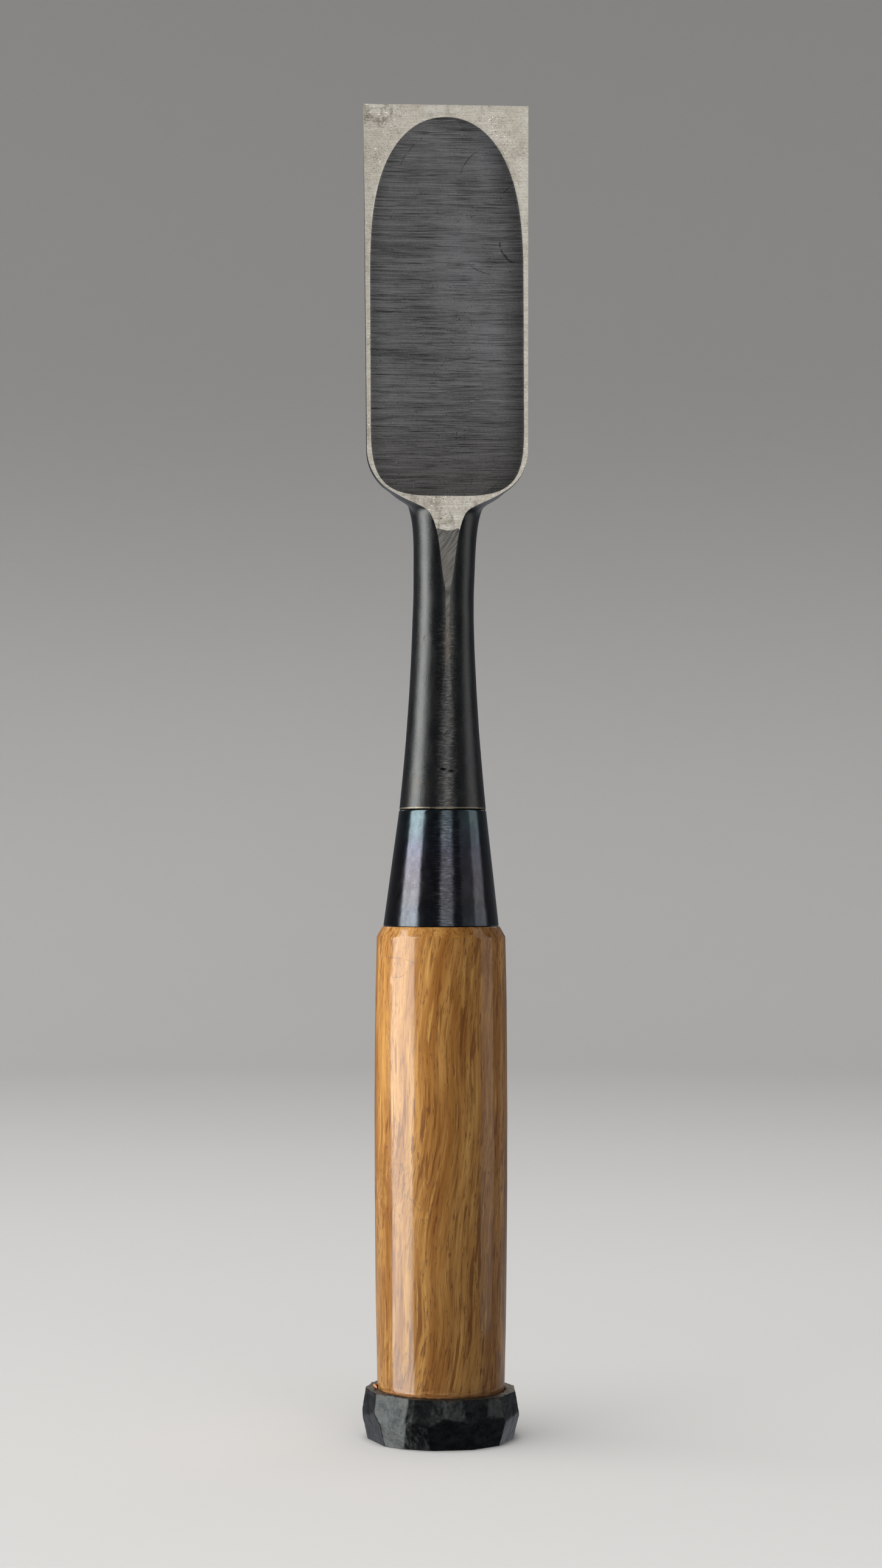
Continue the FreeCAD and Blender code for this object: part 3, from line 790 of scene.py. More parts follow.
class Shader(Graph):
    """Node material worked out from positions in millimetres."""

    def __init__(self, name):
        self.material = bpy.data.materials.new(name)
        self.material.use_nodes = True
        super().__init__(self.material.node_tree)
        self.tree.nodes.clear()
        output = self.tree.nodes.new("ShaderNodeOutputMaterial")
        self.surface = self.tree.nodes.new("ShaderNodeBsdfPrincipled")
        self.tree.links.new(self.surface.outputs[0], output.inputs[0])
        coordinates = self.tree.nodes.new("ShaderNodeTexCoord")
        self.place = self.vector("MULTIPLY", coordinates.outputs["Object"], (1 / MM, 1 / MM, 1 / MM))
        self.x, self.y, self.z = self.parts(self.place)

    def times(self, *values):
        total = values[0]
        for value in values[1:]:
            total = self.math("MULTIPLY", total, value)
        return total

    def plus(self, *values):
        total = values[0]
        for value in values[1:]:
            total = self.math("ADD", total, value)
        return total

    def step(self, value, low, high, to_low=0.0, to_high=1.0):
        """Smooth step of a value from low to high."""
        inputs = {"Value": value, "From Min": low, "From Max": high, "To Min": to_low, "To Max": to_high}
        if low > high:
            inputs.update({"From Min": high, "From Max": low, "To Min": to_high, "To Max": to_low})
        return self.node("ShaderNodeMapRange", inputs, interpolation_type="SMOOTHSTEP").outputs[0]

    def noise(self, sizes, detail=3.0, roughness=0.55, seed=0, place=None):
        """Noise from 0 to 1 with features of the given sizes along X, Y and Z."""
        at = self.vector("DIVIDE", place or self.place, tuple(sizes))
        at = self.vector("ADD", at, (seed * 7.3, seed * 3.1, seed * 5.7))
        inputs = {"Vector": at, "Scale": 1.0, "Detail": detail, "Roughness": roughness}
        return self.node("ShaderNodeTexNoise", inputs).outputs[0]

    def cells(self, sizes, seed=0):
        """Distance to the nearest of scattered points."""
        at = self.vector("DIVIDE", self.place, tuple(sizes))
        at = self.vector("ADD", at, (seed * 3.3, seed * 5.9, seed * 2.7))
        inputs = {"Vector": at, "Scale": 1.0, "Randomness": 1.0}
        return self.node("ShaderNodeTexVoronoi", inputs).outputs["Distance"]

    def mix(self, factor, a, b, blend="MIX"):
        made = self.tree.nodes.new("ShaderNodeMix")
        made.data_type, made.blend_type = "RGBA", blend
        for index, value in ((0, factor), (6, a), (7, b)):
            self.put(made.inputs[index], value)
        return made.outputs[2]

    def shade(self, colour, amount):
        """Colour multiplied by a number."""
        return self.mix(1.0, colour, self.join(amount, amount, amount), "MULTIPLY")

    def blend(self, factor, a, b):
        """Number between a and b."""
        return self.plus(self.times(self.math("SUBTRACT", 1.0, factor), a), self.times(factor, b))

    def ramp(self, value, stops):
        made = self.node("ShaderNodeValToRGB", {0: value})
        elements = made.color_ramp.elements
        for index, (at, colour) in enumerate(stops):
            element = elements[index] if index < 2 else elements.new(at)
            element.position, element.color = at, (*colour, 1)
        return made.outputs[0]

    def bump(self, height, depth_mm):
        """Normal from a height of 0 to 1 that stands for depth_mm."""
        inputs = {"Height": height, "Distance": depth_mm * MM, "Strength": 1.0}
        return self.node("ShaderNodeBump", inputs).outputs[0]

    def metal(self, colour, rough, relief, depth_mm):
        """Finish of a metal whose relief of 0 to 1 stands for depth_mm."""
        normal = self.bump(relief, depth_mm)
        return self.finish(Base_Color=colour, Metallic=1.0, Roughness=rough, Normal=normal)

    def finish(self, **values):
        """Sets the surface's inputs; an underscore in a name stands for a space."""
        for key, value in values.items():
            self.put(self.surface.inputs[key.replace("_", " ")], value)
        return self.material


def grey(value, warmth=0.0):
    """Linear colour of one lightness, warmer above zero and cooler below."""
    return (value * (1 + warmth), value, value * (1 - warmth))


def forge_black(sh):
    """Colour, roughness and relief of the oxidised, smoothly forged skin, with a painted reflection down the
    front of the neck.
    """
    mottle = sh.noise((1.6, 1.6, 5.0), 5, 0.65, seed=1)
    grit = sh.noise((0.20, 0.20, 0.24), 3, 0.65, seed=2)
    stain = sh.step(sh.noise((2.5, 2.5, 5), 3, 0.6, seed=3), 0.60, 0.78)
    colour = sh.mix(sh.step(mottle, 0.25, 0.75), (0.044, 0.047, 0.049), (0.064, 0.066, 0.065))
    colour = sh.mix(sh.times(stain, 0.45), colour, (0.072, 0.056, 0.042))
    colour = sh.mix(sh.step(grit, 0.62, 0.74, 0, 0.75), colour, (0.15, 0.15, 0.14))
    colour = sh.mix(sh.step(grit, 0.36, 0.26, 0, 0.7), colour, grey(0.018))
    rough = sh.plus(sh.step(mottle, 0.25, 0.75, 0.20, 0.26), sh.times(grit, 0.12))
    # Painted reflection: down the front of the neck, dark and bright ripples in the colour stand in for the
    # front light mirrored in the rippled skin; the same ripples also give real relief.
    ripple_and_sheen = sh.noise((1.1, 1.1, 0.24), 3, 0.65, seed=24)
    off_middle = sh.math("ABSOLUTE", sh.plus(sh.x, -0.6))
    in_front = sh.times(sh.step(sh.y, -3.0, -4.5), sh.step(off_middle, 2.6, 1.2))
    in_front = sh.times(in_front, sh.step(sh.z, STEEL_TAIL_Z - 12, STEEL_TAIL_Z - 20))
    colour = sh.mix(sh.times(sh.step(ripple_and_sheen, 0.36, 0.54, 0.45, 0.0), in_front), colour, grey(0.020))
    colour = sh.mix(sh.times(sh.step(ripple_and_sheen, 0.50, 0.66), in_front, 0.65), colour, (0.14, 0.136, 0.128))
    uneven = sh.times(ripple_and_sheen, sh.plus(0.12, sh.times(in_front, 0.4)))
    relief = sh.plus(sh.times(mottle, 0.15), sh.times(grit, 1.2), uneven)
    return colour, rough, relief


def lapped(sh):
    """Colour, roughness and relief of the stoned flat: fine lines, stains, pits and bright specks."""
    line = sh.noise((6, 50, 0.11), 3, 0.7, seed=9)
    grain = sh.noise((0.24, 50, 0.15), 3, 0.7, seed=25)
    tone = sh.noise((4, 50, 5), 4, 0.6, seed=55)
    colour = sh.mix(sh.step(tone, 0.3, 0.7), (0.375, 0.350, 0.305), (0.430, 0.416, 0.376))
    colour = sh.mix(sh.step(line, 0.35, 0.60, 0.45, 0.0), colour, (0.20, 0.182, 0.15))
    colour = sh.mix(sh.step(grain, 0.58, 0.70, 0, 0.7), colour, (0.58, 0.56, 0.52))
    colour = sh.mix(sh.step(grain, 0.44, 0.32, 0, 0.7), colour, (0.17, 0.148, 0.12))
    tarnish = sh.step(sh.noise((2.2, 50, 3.2), 5, 0.68, seed=10), 0.46, 0.68)
    corner = sh.times(sh.step(sh.z, EDGE_Z - 7, EDGE_Z - 1), sh.step(sh.x, -7.0, -12.0))
    lower = sh.step(sh.z, SHOULDER_Z + 6, SHOULDER_Z)
    stain = sh.plus(sh.times(tarnish, 0.32), sh.times(tarnish, corner), sh.times(tarnish, lower, 0.35))
    colour = sh.mix(sh.math("MINIMUM", stain, 0.85), colour, (0.125, 0.11, 0.085))
    clump = sh.step(sh.noise((4.5, 50, 6), 3, 0.6, seed=26), 0.44, 0.62)
    speck = sh.noise((0.42, 50, 0.26), 3, 0.7, seed=11)
    dirt = sh.times(sh.step(speck, 0.39, 0.31), sh.plus(0.4, sh.times(clump, 0.6)))
    glint = sh.times(sh.step(sh.noise((0.55, 50, 0.30), 3, 0.65, seed=27), 0.62, 0.68), clump)
    colour = sh.mix(dirt, colour, (0.055, 0.045, 0.034))
    colour = sh.mix(glint, colour, (0.72, 0.67, 0.60))
    relief = sh.plus(sh.times(line, 0.45), sh.times(grain, 0.45), sh.times(dirt, -0.8))
    return colour, 0.3, relief


# Scratches: start (x, z), end (x, z), how far they bow, half width, seed
HOLLOW_SCRATCHES = [
    ((3.2, 231.5), (6.6, 236.0), 0.6, 0.12, 40), ((10.4, 219.5), (13.4, 215.4), -0.8, 0.26, 42),
    ((10.6, 227.0), (12.6, 229.4), 0.5, 0.12, 44), ((-7.8, 233.0), (-3.4, 238.4), 0.5, 0.09, 46),
    ((5.0, 215.0), (9.0, 213.4), -0.3, 0.09, 48),
]
NECK_SCRATCHES = [
    ((-0.75, 122.9), (0.6, 122.85), 0.08, 0.16, 73), ((0.9, 122.6), (2.0, 122.45), 0.05, 0.12, 75),
    ((0.2, 129.0), (0.9, 129.9), 0.1, 0.15, 77), ((-3.3, 146.4), (-2.9, 147.6), 0.3, 0.1, 79),
]
GRIP_SCRATCHES = [
    ((-10.0, 88.6), (-4.6, 87.4), 0.4, 0.14, 62), ((-9.2, 84.9), (-6.6, 86.2), -0.3, 0.12, 64),
    ((-7.6, 46.0), (-4.4, 42.4), 0.5, 0.16, 66), ((6.4, 20.6), (10.2, 21.6), 0.3, 0.12, 68),
]


def scratches(sh, table):
    """1 along any of a table's scratches."""
    return sh.plus(*[scratch(sh, *row) for row in table])


def scratch(sh, start, end, bow, width, seed):
    """1 along a curved scratch from start to end, (x, z) each, that bows sideways by bow."""
    run = (end[0] - start[0], end[1] - start[1])
    length = math.hypot(*run)
    along, aside = (run[0] / length, run[1] / length), (-run[1] / length, run[0] / length)
    dx, dz = sh.plus(sh.x, -start[0]), sh.plus(sh.z, -start[1])
    t = sh.times(sh.plus(sh.times(dx, along[0]), sh.times(dz, along[1])), 1 / length)
    off = sh.plus(sh.times(dx, aside[0]), sh.times(dz, aside[1]))
    curve = sh.times(t, sh.math("SUBTRACT", 1.0, t), 4 * bow)
    wobble = sh.times(sh.plus(sh.noise((1.2, 50, 1.2), 3, 0.6, seed=seed), -0.5), 0.5)
    distance = sh.math("ABSOLUTE", sh.plus(off, sh.times(curve, -1.0), wobble))
    inside = sh.times(sh.step(t, 0.0, 0.05), sh.step(t, 1.0, 0.9))
    broken = sh.step(sh.noise((0.8, 50, 0.8), 3, 0.6, seed=seed + 1), 0.38, 0.5)
    return sh.times(sh.step(distance, width, width * 0.3), inside, broken)


def ground_hollow(sh):
    """Colour, roughness and relief of the wheel-ground hollow: thin broken lines, pits, old scratches."""
    fine = sh.noise((7, 50, 0.10), 3, 0.75, seed=4)
    middle = sh.noise((18, 50, 0.22), 4, 0.78, seed=5)
    broad = sh.noise((30, 50, 1.6), 3, 0.6, seed=29)
    grain = sh.noise((0.22, 50, 0.12), 3, 0.7, seed=56)
    cut = sh.step(sh.noise((7, 50, 0.12), 2, 0.5, seed=30), 0.575, 0.62)
    cut = sh.times(cut, sh.step(sh.noise((12, 50, 2.0), 3, 0.6, seed=31), 0.38, 0.56))
    cloud = sh.noise((8, 50, 13), 3, 0.5, seed=6)
    lines = sh.plus(sh.times(fine, 0.42), sh.times(middle, 0.40), sh.times(broad, 0.18))
    colour = sh.mix(sh.step(lines, 0.39, 0.60), (0.042, 0.042, 0.043), (0.124, 0.124, 0.126))
    # Painted light: a lighter, bluish cloudy patch right of the middle of the upper hollow. After it, painted
    # shade darkens the hollow towards its foot.
    patch = sh.times(sh.step(sh.x, -6, 3), sh.step(sh.x, 14, 9), sh.step(cloud, 0.30, 0.60))
    patch = sh.times(patch, sh.step(sh.z, SHOULDER_Z + 14, SHOULDER_Z + 30))
    colour = sh.mix(sh.times(patch, 0.45), colour, (0.150, 0.154, 0.166))
    shade = sh.step(sh.z, SHOULDER_Z + 20, SHOULDER_Z + 2, 0, 0.4)
    colour = sh.mix(shade, colour, (0.035, 0.033, 0.030))
    colour = sh.mix(sh.step(grain, 0.58, 0.70, 0, 0.5), colour, grey(0.20))
    colour = sh.mix(sh.step(grain, 0.43, 0.32, 0, 0.6), colour, grey(0.03))
    colour = sh.mix(sh.times(cut, 0.75), colour, grey(0.020))
    ends = sh.step(sh.noise((4, 50, 0.5), 3, 0.6, seed=57), 0.35, 0.6)
    near_top = sh.step(sh.z, HOLLOW_TOP - 2.6, HOLLOW_TOP - 0.8)
    colour = sh.mix(sh.times(near_top, ends, 0.6), colour, grey(0.022))
    pits = sh.step(sh.cells((0.62, 50, 0.42), seed=7), 0.2, 0.10)
    pits = sh.times(pits, sh.step(sh.noise((3.5, 50, 3.5), 3, 0.6, seed=8), 0.50, 0.62))
    marks = sh.times(scratches(sh, HOLLOW_SCRATCHES), 0.7)
    marks = sh.math("MINIMUM", sh.plus(pits, marks), 1.0)
    colour = sh.mix(marks, colour, grey(0.014))
    fresh = sh.step(sh.noise((0.22, 50, 1.5), 2, 0.5, seed=32), 0.68, 0.74)
    fresh = sh.times(fresh, sh.step(sh.noise((6, 50, 6), 2, 0.6, seed=33), 0.5, 0.62))
    colour = sh.mix(sh.times(fresh, 0.4), colour, grey(0.2, -0.02))
    relief = sh.plus(sh.times(lines, 0.9), sh.times(grain, 0.3), sh.times(cut, -0.3), sh.times(pits, -0.5))
    return colour, 0.36, relief


def filed(sh):
    """Colour and relief of the flat's tail on the neck: slanting file marks, browner further down."""
    slant_x = sh.plus(sh.times(sh.x, 0.8), sh.times(sh.z, -0.6))
    slant_z = sh.plus(sh.times(sh.x, 0.6), sh.times(sh.z, 0.8))
    marks = sh.noise((0.15, 50, 3.0), 3, 0.7, seed=34, place=sh.join(slant_x, 0.0, slant_z))
    colour = sh.mix(sh.step(marks, 0.36, 0.64), grey(0.045, 0.01), (0.16, 0.158, 0.15))
    warm = sh.step(sh.z, STEEL_TAIL_Z, STEEL_TAIL_Z - 6)
    colour = sh.mix(sh.times(warm, 0.4), colour, (0.15, 0.138, 0.12))
    patch = sh.noise((0.5, 50, 0.8), 4, 0.7, seed=35)
    rust = sh.times(sh.step(sh.z, TAIL_Z + 2, TAIL_Z - 6), sh.step(patch, 0.35, 0.62))
    return sh.mix(sh.times(rust, 0.75), colour, (0.088, 0.072, 0.055)), marks


def worn_strip(sh):
    """Mask of the narrow strip where the file only grazed the neck, ragged and wider at its foot."""
    centre = sh.plus(0.93, sh.times(sh.plus(sh.z, -TAIL_Z), 0.012))
    ragged = sh.times(sh.plus(sh.noise((0.5, 50, 0.6), 4, 0.75, seed=72), -0.5), 1.6)
    width = sh.step(sh.z, TAIL_Z - 5, TAIL_Z - 8, 0.38, 0.55)
    spread = sh.step(sh.z, TAIL_Z, TAIL_Z - 7, 0.2, 1.0)
    away = sh.plus(sh.math("ABSOLUTE", sh.math("SUBTRACT", sh.x, centre)), sh.times(ragged, spread))
    inside = sh.times(sh.step(sh.math("SUBTRACT", away, width), 0.06, -0.06), sh.step(sh.y, 0, -1))
    return sh.times(inside, sh.step(sh.z, TAIL_Z - 13, TAIL_Z - 9), sh.step(sh.z, TAIL_Z + 1.5, TAIL_Z))


def blade_masks(sh):
    """Masks of the back flat, the hollow and the ground bevel; all else is forge-black."""
    normal = sh.parts(sh.tree.nodes.new("ShaderNodeNewGeometry").outputs["True Normal"])[1]
    facing = sh.step(normal, -0.91, -0.94)
    run_out = sh.math("DIVIDE", sh.math("SUBTRACT", TAIL_Z + TAIL_RUN, sh.z), TAIL_RUN)
    run_out = sh.math("MINIMUM", sh.math("MAXIMUM", run_out, 0.0), 1.0)
    above = sh.math("SUBTRACT", sh.y, sh.math("SUBTRACT", BACK_Y, sh.times(run_out, TAIL_RISE)))
    flat = sh.times(facing, sh.step(above, 0.012, 0.004), sh.step(sh.z, TAIL_Z - 0.5, TAIL_Z + 1.0))
    hollow = sh.times(facing, sh.step(above, 0.004, 0.012), sh.step(sh.z, HOLLOW_FOOT - 0.3, HOLLOW_FOOT))
    plane = sh.plus(BACK_Y - 0.06, sh.times(sh.math("SUBTRACT", EDGE_Z, sh.z), BEVEL_SLOPE))
    bevel = sh.times(sh.math("GREATER_THAN", sh.y, plane), sh.step(sh.z, EDGE_Z - 20, EDGE_Z - 18))
    return flat, hollow, bevel


def hard_steel_material():
    sh = Shader("hard_steel_ground")
    flat, hollow, bevel = blade_masks(sh)
    colour, rough, relief = forge_black(sh)
    for mask, finish in ((flat, lapped(sh)), (hollow, ground_hollow(sh)), (bevel, lapped(sh))):
        colour = sh.mix(mask, colour, finish[0])
        rough = sh.blend(mask, rough, finish[1])
        relief = sh.blend(mask, relief, finish[2])
    return sh.metal(colour, rough, relief, 0.02)


def soft_iron_material():
    sh = Shader("soft_iron_forged")
    flat, _, bevel = blade_masks(sh)
    colour, rough, relief = forge_black(sh)
    tail_colour, tail_relief = filed(sh)
    iron_bevel = sh.mix(sh.noise((0.4, 3, 3), 4, 0.7, seed=36), grey(0.16, 0.02), grey(0.25, 0.01))
    flat = sh.math("MAXIMUM", flat, worn_strip(sh))
    colour = sh.mix(flat, colour, tail_colour)
    nicks = sh.math("MINIMUM", scratches(sh, NECK_SCRATCHES), 1.0)
    nicks = sh.times(nicks, sh.step(sh.y, 0, -1), sh.step(sh.z, SHOULDER_Z - 8, SHOULDER_Z - 9))
    colour = sh.mix(sh.times(nicks, 0.85), colour, grey(0.012))
    smudge = sh.noise((1.0, 1.0, 2.2), 4, 0.7, seed=81)
    smudge = sh.times(sh.step(smudge, 0.56, 0.68), sh.step(sh.z, NECK_Z + 9, NECK_Z + 3))
    colour = sh.mix(sh.times(smudge, 0.5), colour, (0.105, 0.066, 0.042))
    colour = sh.mix(bevel, colour, iron_bevel)
    rough = sh.blend(flat, rough, 0.34)
    rough = sh.blend(bevel, rough, 0.45)
    relief = sh.blend(flat, relief, tail_relief)
    # A thin ring just above the ferrule: worn tan metal, painted brighter as a highlight of the burr there
    # catching light.
    worn_seam_and_highlight = sh.step(sh.z, NECK_Z + 0.52, NECK_Z + 0.3)
    worn_seam_and_highlight = sh.times(worn_seam_and_highlight, sh.step(sh.noise((1.6, 1.6, 9), 4, 0.65, seed=37), 0.28, 0.5))
    colour = sh.mix(sh.times(worn_seam_and_highlight, 0.9), colour, (0.32, 0.28, 0.22))
    rough = sh.blend(worn_seam_and_highlight, rough, 0.5)
    return sh.metal(colour, rough, relief, 0.02)


def blued_material():
    sh = Shader("blued_steel")
    along = sh.step(sh.z, LEDGE_Z, NECK_Z)
    wander = sh.plus(along, sh.times(sh.noise((5, 5, 3), 3, 0.5, seed=12), 0.24), -0.12)
    bands = [
        (0.0, (0.054, 0.061, 0.071)), (0.12, (0.061, 0.061, 0.068)), (0.45, (0.064, 0.061, 0.072)),
        (0.75, (0.056, 0.060, 0.078)), (1.0, (0.053, 0.073, 0.081)),
    ]
    colour = sh.ramp(wander, bands)
    blotch = sh.step(sh.noise((1.5, 1.5, 3), 4, 0.6, seed=58), 0.35, 0.7, 0.8, 1.15)
    colour = sh.shade(colour, blotch)
    specks = sh.step(sh.noise((0.22, 0.22, 0.22), 2, 0.6, seed=13), 0.70, 0.77)
    colour = sh.mix(sh.times(specks, 0.7), colour, grey(0.2))
    rough = sh.step(sh.noise((1.2, 1.2, 2.5), 4, 0.6, seed=14), 0.3, 0.7, 0.13, 0.2)
    # Painted reflection: down the front of the ferrule, dark and bright ripples in the colour stand in for
    # the front light mirrored in it; the same ripples also give relief.
    ripple_and_sheen = sh.noise((1.2, 1.2, 0.2), 3, 0.65, seed=15)
    off_middle = sh.math("ABSOLUTE", sh.plus(sh.x, -0.3))
    in_front = sh.times(sh.step(sh.y, -4.0, -6.0), sh.step(off_middle, 4.0, 1.8))
    colour = sh.mix(sh.times(sh.step(ripple_and_sheen, 0.40, 0.60, 0.6, 0.0), in_front), colour, (0.020, 0.024, 0.032))
    colour = sh.mix(sh.times(sh.step(ripple_and_sheen, 0.56, 0.70), in_front, 0.6), colour, (0.17, 0.16, 0.17))
    hair = sh.step(sh.noise((0.9, 0.9, 0.10), 2, 0.5, seed=82), 0.66, 0.70)
    colour = sh.mix(sh.times(hair, 0.35), colour, grey(0.16))
    wave = sh.noise((2.0, 2.0, 0.5), 3, 0.6, seed=59)
    relief = sh.times(sh.plus(ripple_and_sheen, wave), sh.plus(0.10, sh.times(in_front, 0.9)))
    return sh.metal(colour, rough, relief, 0.014)


def oak_material():
    sh = Shader("oak_lacquered")
    sway = sh.times(sh.plus(sh.noise((70, 70, 34), 1, 0.5, seed=50), -0.5), 7.0)
    lean = sh.join(sh.plus(sh.x, sway, sh.times(sh.z, -0.10)), sh.y, sh.z)
    warp = sh.noise((10, 10, 60), 2, 0.5, seed=16, place=lean)
    rings = sh.plus(sh.times(sh.x, 0.28), sh.times(sh.y, 0.24), sh.times(warp, 2.6))
    season = sh.math("FRACT", rings)
    band = sh.noise((3.0, 3.0, 45), 3, 0.55, seed=51, place=lean)
    streak = sh.noise((0.50, 0.50, 13), 4, 0.7, seed=17, place=lean)
    hair = sh.noise((0.20, 0.20, 6), 3, 0.65, seed=83, place=lean)
    feather = sh.noise((0.7, 0.7, 9), 2, 0.5, seed=52, place=lean)
    feather = sh.plus(feather, sh.times(sh.plus(hair, -0.5), 0.18))
    where = sh.step(sh.noise((6, 6, 24), 2, 0.5, seed=53), 0.36, 0.50)
    fleck = sh.times(sh.step(feather, 0.54, 0.62), where)
    dash = sh.noise((0.25, 0.25, 2.3), 2, 0.5, seed=18, place=lean)
    thread = sh.noise((0.22, 0.22, 7.0), 2, 0.5, seed=60, place=lean)
    dense = sh.step(sh.noise((3.4, 3.4, 30), 2, 0.5, seed=61, place=lean), 0.40, 0.54)
    pores = sh.plus(sh.step(dash, 0.62, 0.65), sh.times(sh.step(thread, 0.595, 0.63), dense, 0.7))
    pores = sh.times(sh.math("MINIMUM", pores, 1.0), sh.step(season, 0.05, 0.45, 0.5, 1.0))
    colour = sh.mix(sh.step(band, 0.34, 0.66), (0.435, 0.226, 0.062), (0.265, 0.110, 0.020))
    colour = sh.mix(sh.step(streak, 0.42, 0.68, 0, 0.6), colour, (0.180, 0.060, 0.007))
    colour = sh.mix(sh.step(hair, 0.50, 0.66, 0, 0.35), colour, (0.19, 0.072, 0.010))
    light = sh.noise((1.4, 1.4, 16), 3, 0.6, seed=85, place=lean)
    colour = sh.mix(sh.step(light, 0.54, 0.72, 0, 0.5), colour, (0.555, 0.325, 0.092))
    colour = sh.mix(sh.step(season, 0.6, 1.0, 0, 0.25), colour, (0.17, 0.066, 0.013))
    colour = sh.mix(sh.times(fleck, 0.7), colour, (0.130, 0.040, 0.005))
    colour = sh.mix(sh.times(pores, 0.6), colour, (0.085, 0.026, 0.006))
    # Painted shade: the grip's colour darkens from 80 mm down to 20 mm above its end, to about three
    # quarters.
    colour = sh.shade(colour, sh.step(sh.z, 20, 80, 0.76, 1.0))
    crushed = sh.noise((2.2, 2.2, 0.35), 3, 0.6, seed=54)
    foot = sh.times(sh.step(sh.z, HOOP_Z + 1.7, HOOP_Z + 0.3), sh.step(crushed, 0.42, 0.6))
    colour = sh.mix(sh.times(foot, 0.6), colour, (0.46, 0.24, 0.10))
    # Painted shade: a dark band on the grip just above the hoop, where the two meet.
    hoop_join_shade = sh.step(sh.z, HOOP_Z + 0.9, HOOP_Z + 0.1)
    colour = sh.mix(sh.times(hoop_join_shade, 0.5), colour, (0.12, 0.045, 0.015))
    old_knocks = sh.math("MINIMUM", scratches(sh, GRIP_SCRATCHES), 1.0)
    in_front = sh.step(sh.y, 0.0, -1.0)
    colour = sh.mix(sh.times(old_knocks, in_front, 0.6), colour, (0.09, 0.055, 0.03))
    end_grain = sh.step(sh.z, 0.25, 0.05)
    colour = sh.mix(sh.times(end_grain, 0.5), colour, (0.12, 0.06, 0.025))
    relief = sh.plus(sh.times(sh.math("SUBTRACT", 1.0, pores), 0.6), sh.times(streak, 0.2))
    coat = sh.step(sh.noise((4, 4, 12), 3, 0.6, seed=70), 0.3, 0.7, 0.08, 0.16)
    finish = dict(Roughness=0.5, Specular_IOR_Level=0.1, Coat_Weight=0.6, Coat_Roughness=coat, Coat_IOR=1.5)
    finish.update(Normal=sh.bump(relief, 0.012), Coat_Normal=sh.bump(relief, 0.005))
    return sh.finish(Base_Color=colour, **finish)


def raw_oak_material():
    sh = Shader("oak_raw")
    fibre = sh.noise((0.12, 0.12, 0.12), 3, 0.6, seed=84)
    colour = sh.mix(sh.step(fibre, 0.35, 0.65), (0.46, 0.20, 0.07), (0.26, 0.10, 0.03))
    return sh.finish(Base_Color=colour, Roughness=0.6, Normal=sh.bump(fibre, 0.03))


def black_iron_material():
    sh = Shader("black_iron_scale")
    mottle = sh.noise((2.0, 2.0, 1.4), 4, 0.6, seed=19)
    grit = sh.noise((0.20, 0.20, 0.20), 3, 0.7, seed=20)
    wrinkle = sh.noise((0.45, 0.45, 0.8), 3, 0.65, seed=71)
    colour = sh.mix(sh.step(mottle, 0.3, 0.7), (0.024, 0.026, 0.027), (0.052, 0.057, 0.057))
    rust = sh.step(sh.noise((2.4, 2.4, 2.4), 4, 0.7, seed=21), 0.58, 0.72)
    colour = sh.mix(sh.times(rust, 0.25), colour, (0.06, 0.045, 0.034))
    normal = sh.parts(sh.tree.nodes.new("ShaderNodeNewGeometry").outputs["Normal"])[2]
    top = sh.times(sh.step(sh.z, HOOP_Z - 0.75, HOOP_Z - 0.35), sh.step(normal, 0.35, 0.8))
    colour = sh.mix(sh.times(top, 0.85), colour, (0.105, 0.085, 0.062))
    colour = sh.mix(sh.step(grit, 0.60, 0.72, 0, 0.8), colour, (0.13, 0.135, 0.13))
    colour = sh.mix(sh.step(grit, 0.44, 0.34, 0, 0.6), colour, grey(0.014))
    colour = sh.mix(sh.step(wrinkle, 0.42, 0.30, 0, 0.75), colour, grey(0.012))
    rough = sh.plus(sh.step(mottle, 0.3, 0.7, 0.27, 0.36), sh.times(grit, 0.08), sh.times(top, 0.2))
    relief = sh.plus(sh.times(mottle, 0.3), sh.times(wrinkle, 0.4), sh.times(grit, 0.3))
    return sh.metal(colour, rough, relief, 0.045)


# ---------------------------------------------------------------- putting it together


def install(piece, material, node):
    """Gives a piece its finish and its body, and hides the CAD node that it replaces."""
    piece.data.materials.clear()
    piece.data.materials.append(material)
    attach(piece, "root")
    if node:
        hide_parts(node)


install(steel, hard_steel_material(), "cutting_steel")
install(iron, soft_iron_material(), "iron_body")
install(ferrule_piece, blued_material(), "ferrule")
install(handle_piece, oak_material(), "handle")
install(splinter_piece, raw_oak_material(), None)
install(hoop_piece, black_iron_material(), "hoop")

# ---------------------------------------------------------------- camera, lights and floor

CAMERA_DISTANCE, CAMERA_HEIGHT, CAMERA_AZIMUTH = 0.542, 0.1046, -3.3
LENS, HORIZON_BELOW_CENTRE = 67.5, 0.0547
FLOOR_AROUND = 180
AMBIENT, MIRRORED_FLOOR = 0.12, 0.5


def around_axis(azimuth, distance, height):
    """Point round the chisel; azimuth is degrees to the right of the front."""
    turn = math.radians(azimuth)
    return (distance * math.sin(turn), -distance * math.cos(turn), height)


def camera():
    data = bpy.data.cameras.new("camera")
    data.lens, data.sensor_width, data.sensor_fit = LENS, 36.0, "AUTO"
    data.shift_y = HORIZON_BELOW_CENTRE
    data.clip_start, data.clip_end = 0.01, 20.0
    obj = link_new("camera", data)
    obj.location = around_axis(CAMERA_AZIMUTH, CAMERA_DISTANCE, CAMERA_HEIGHT)
    obj.rotation_euler = (math.radians(90), 0, math.radians(CAMERA_AZIMUTH))
    bpy.context.scene.camera = obj


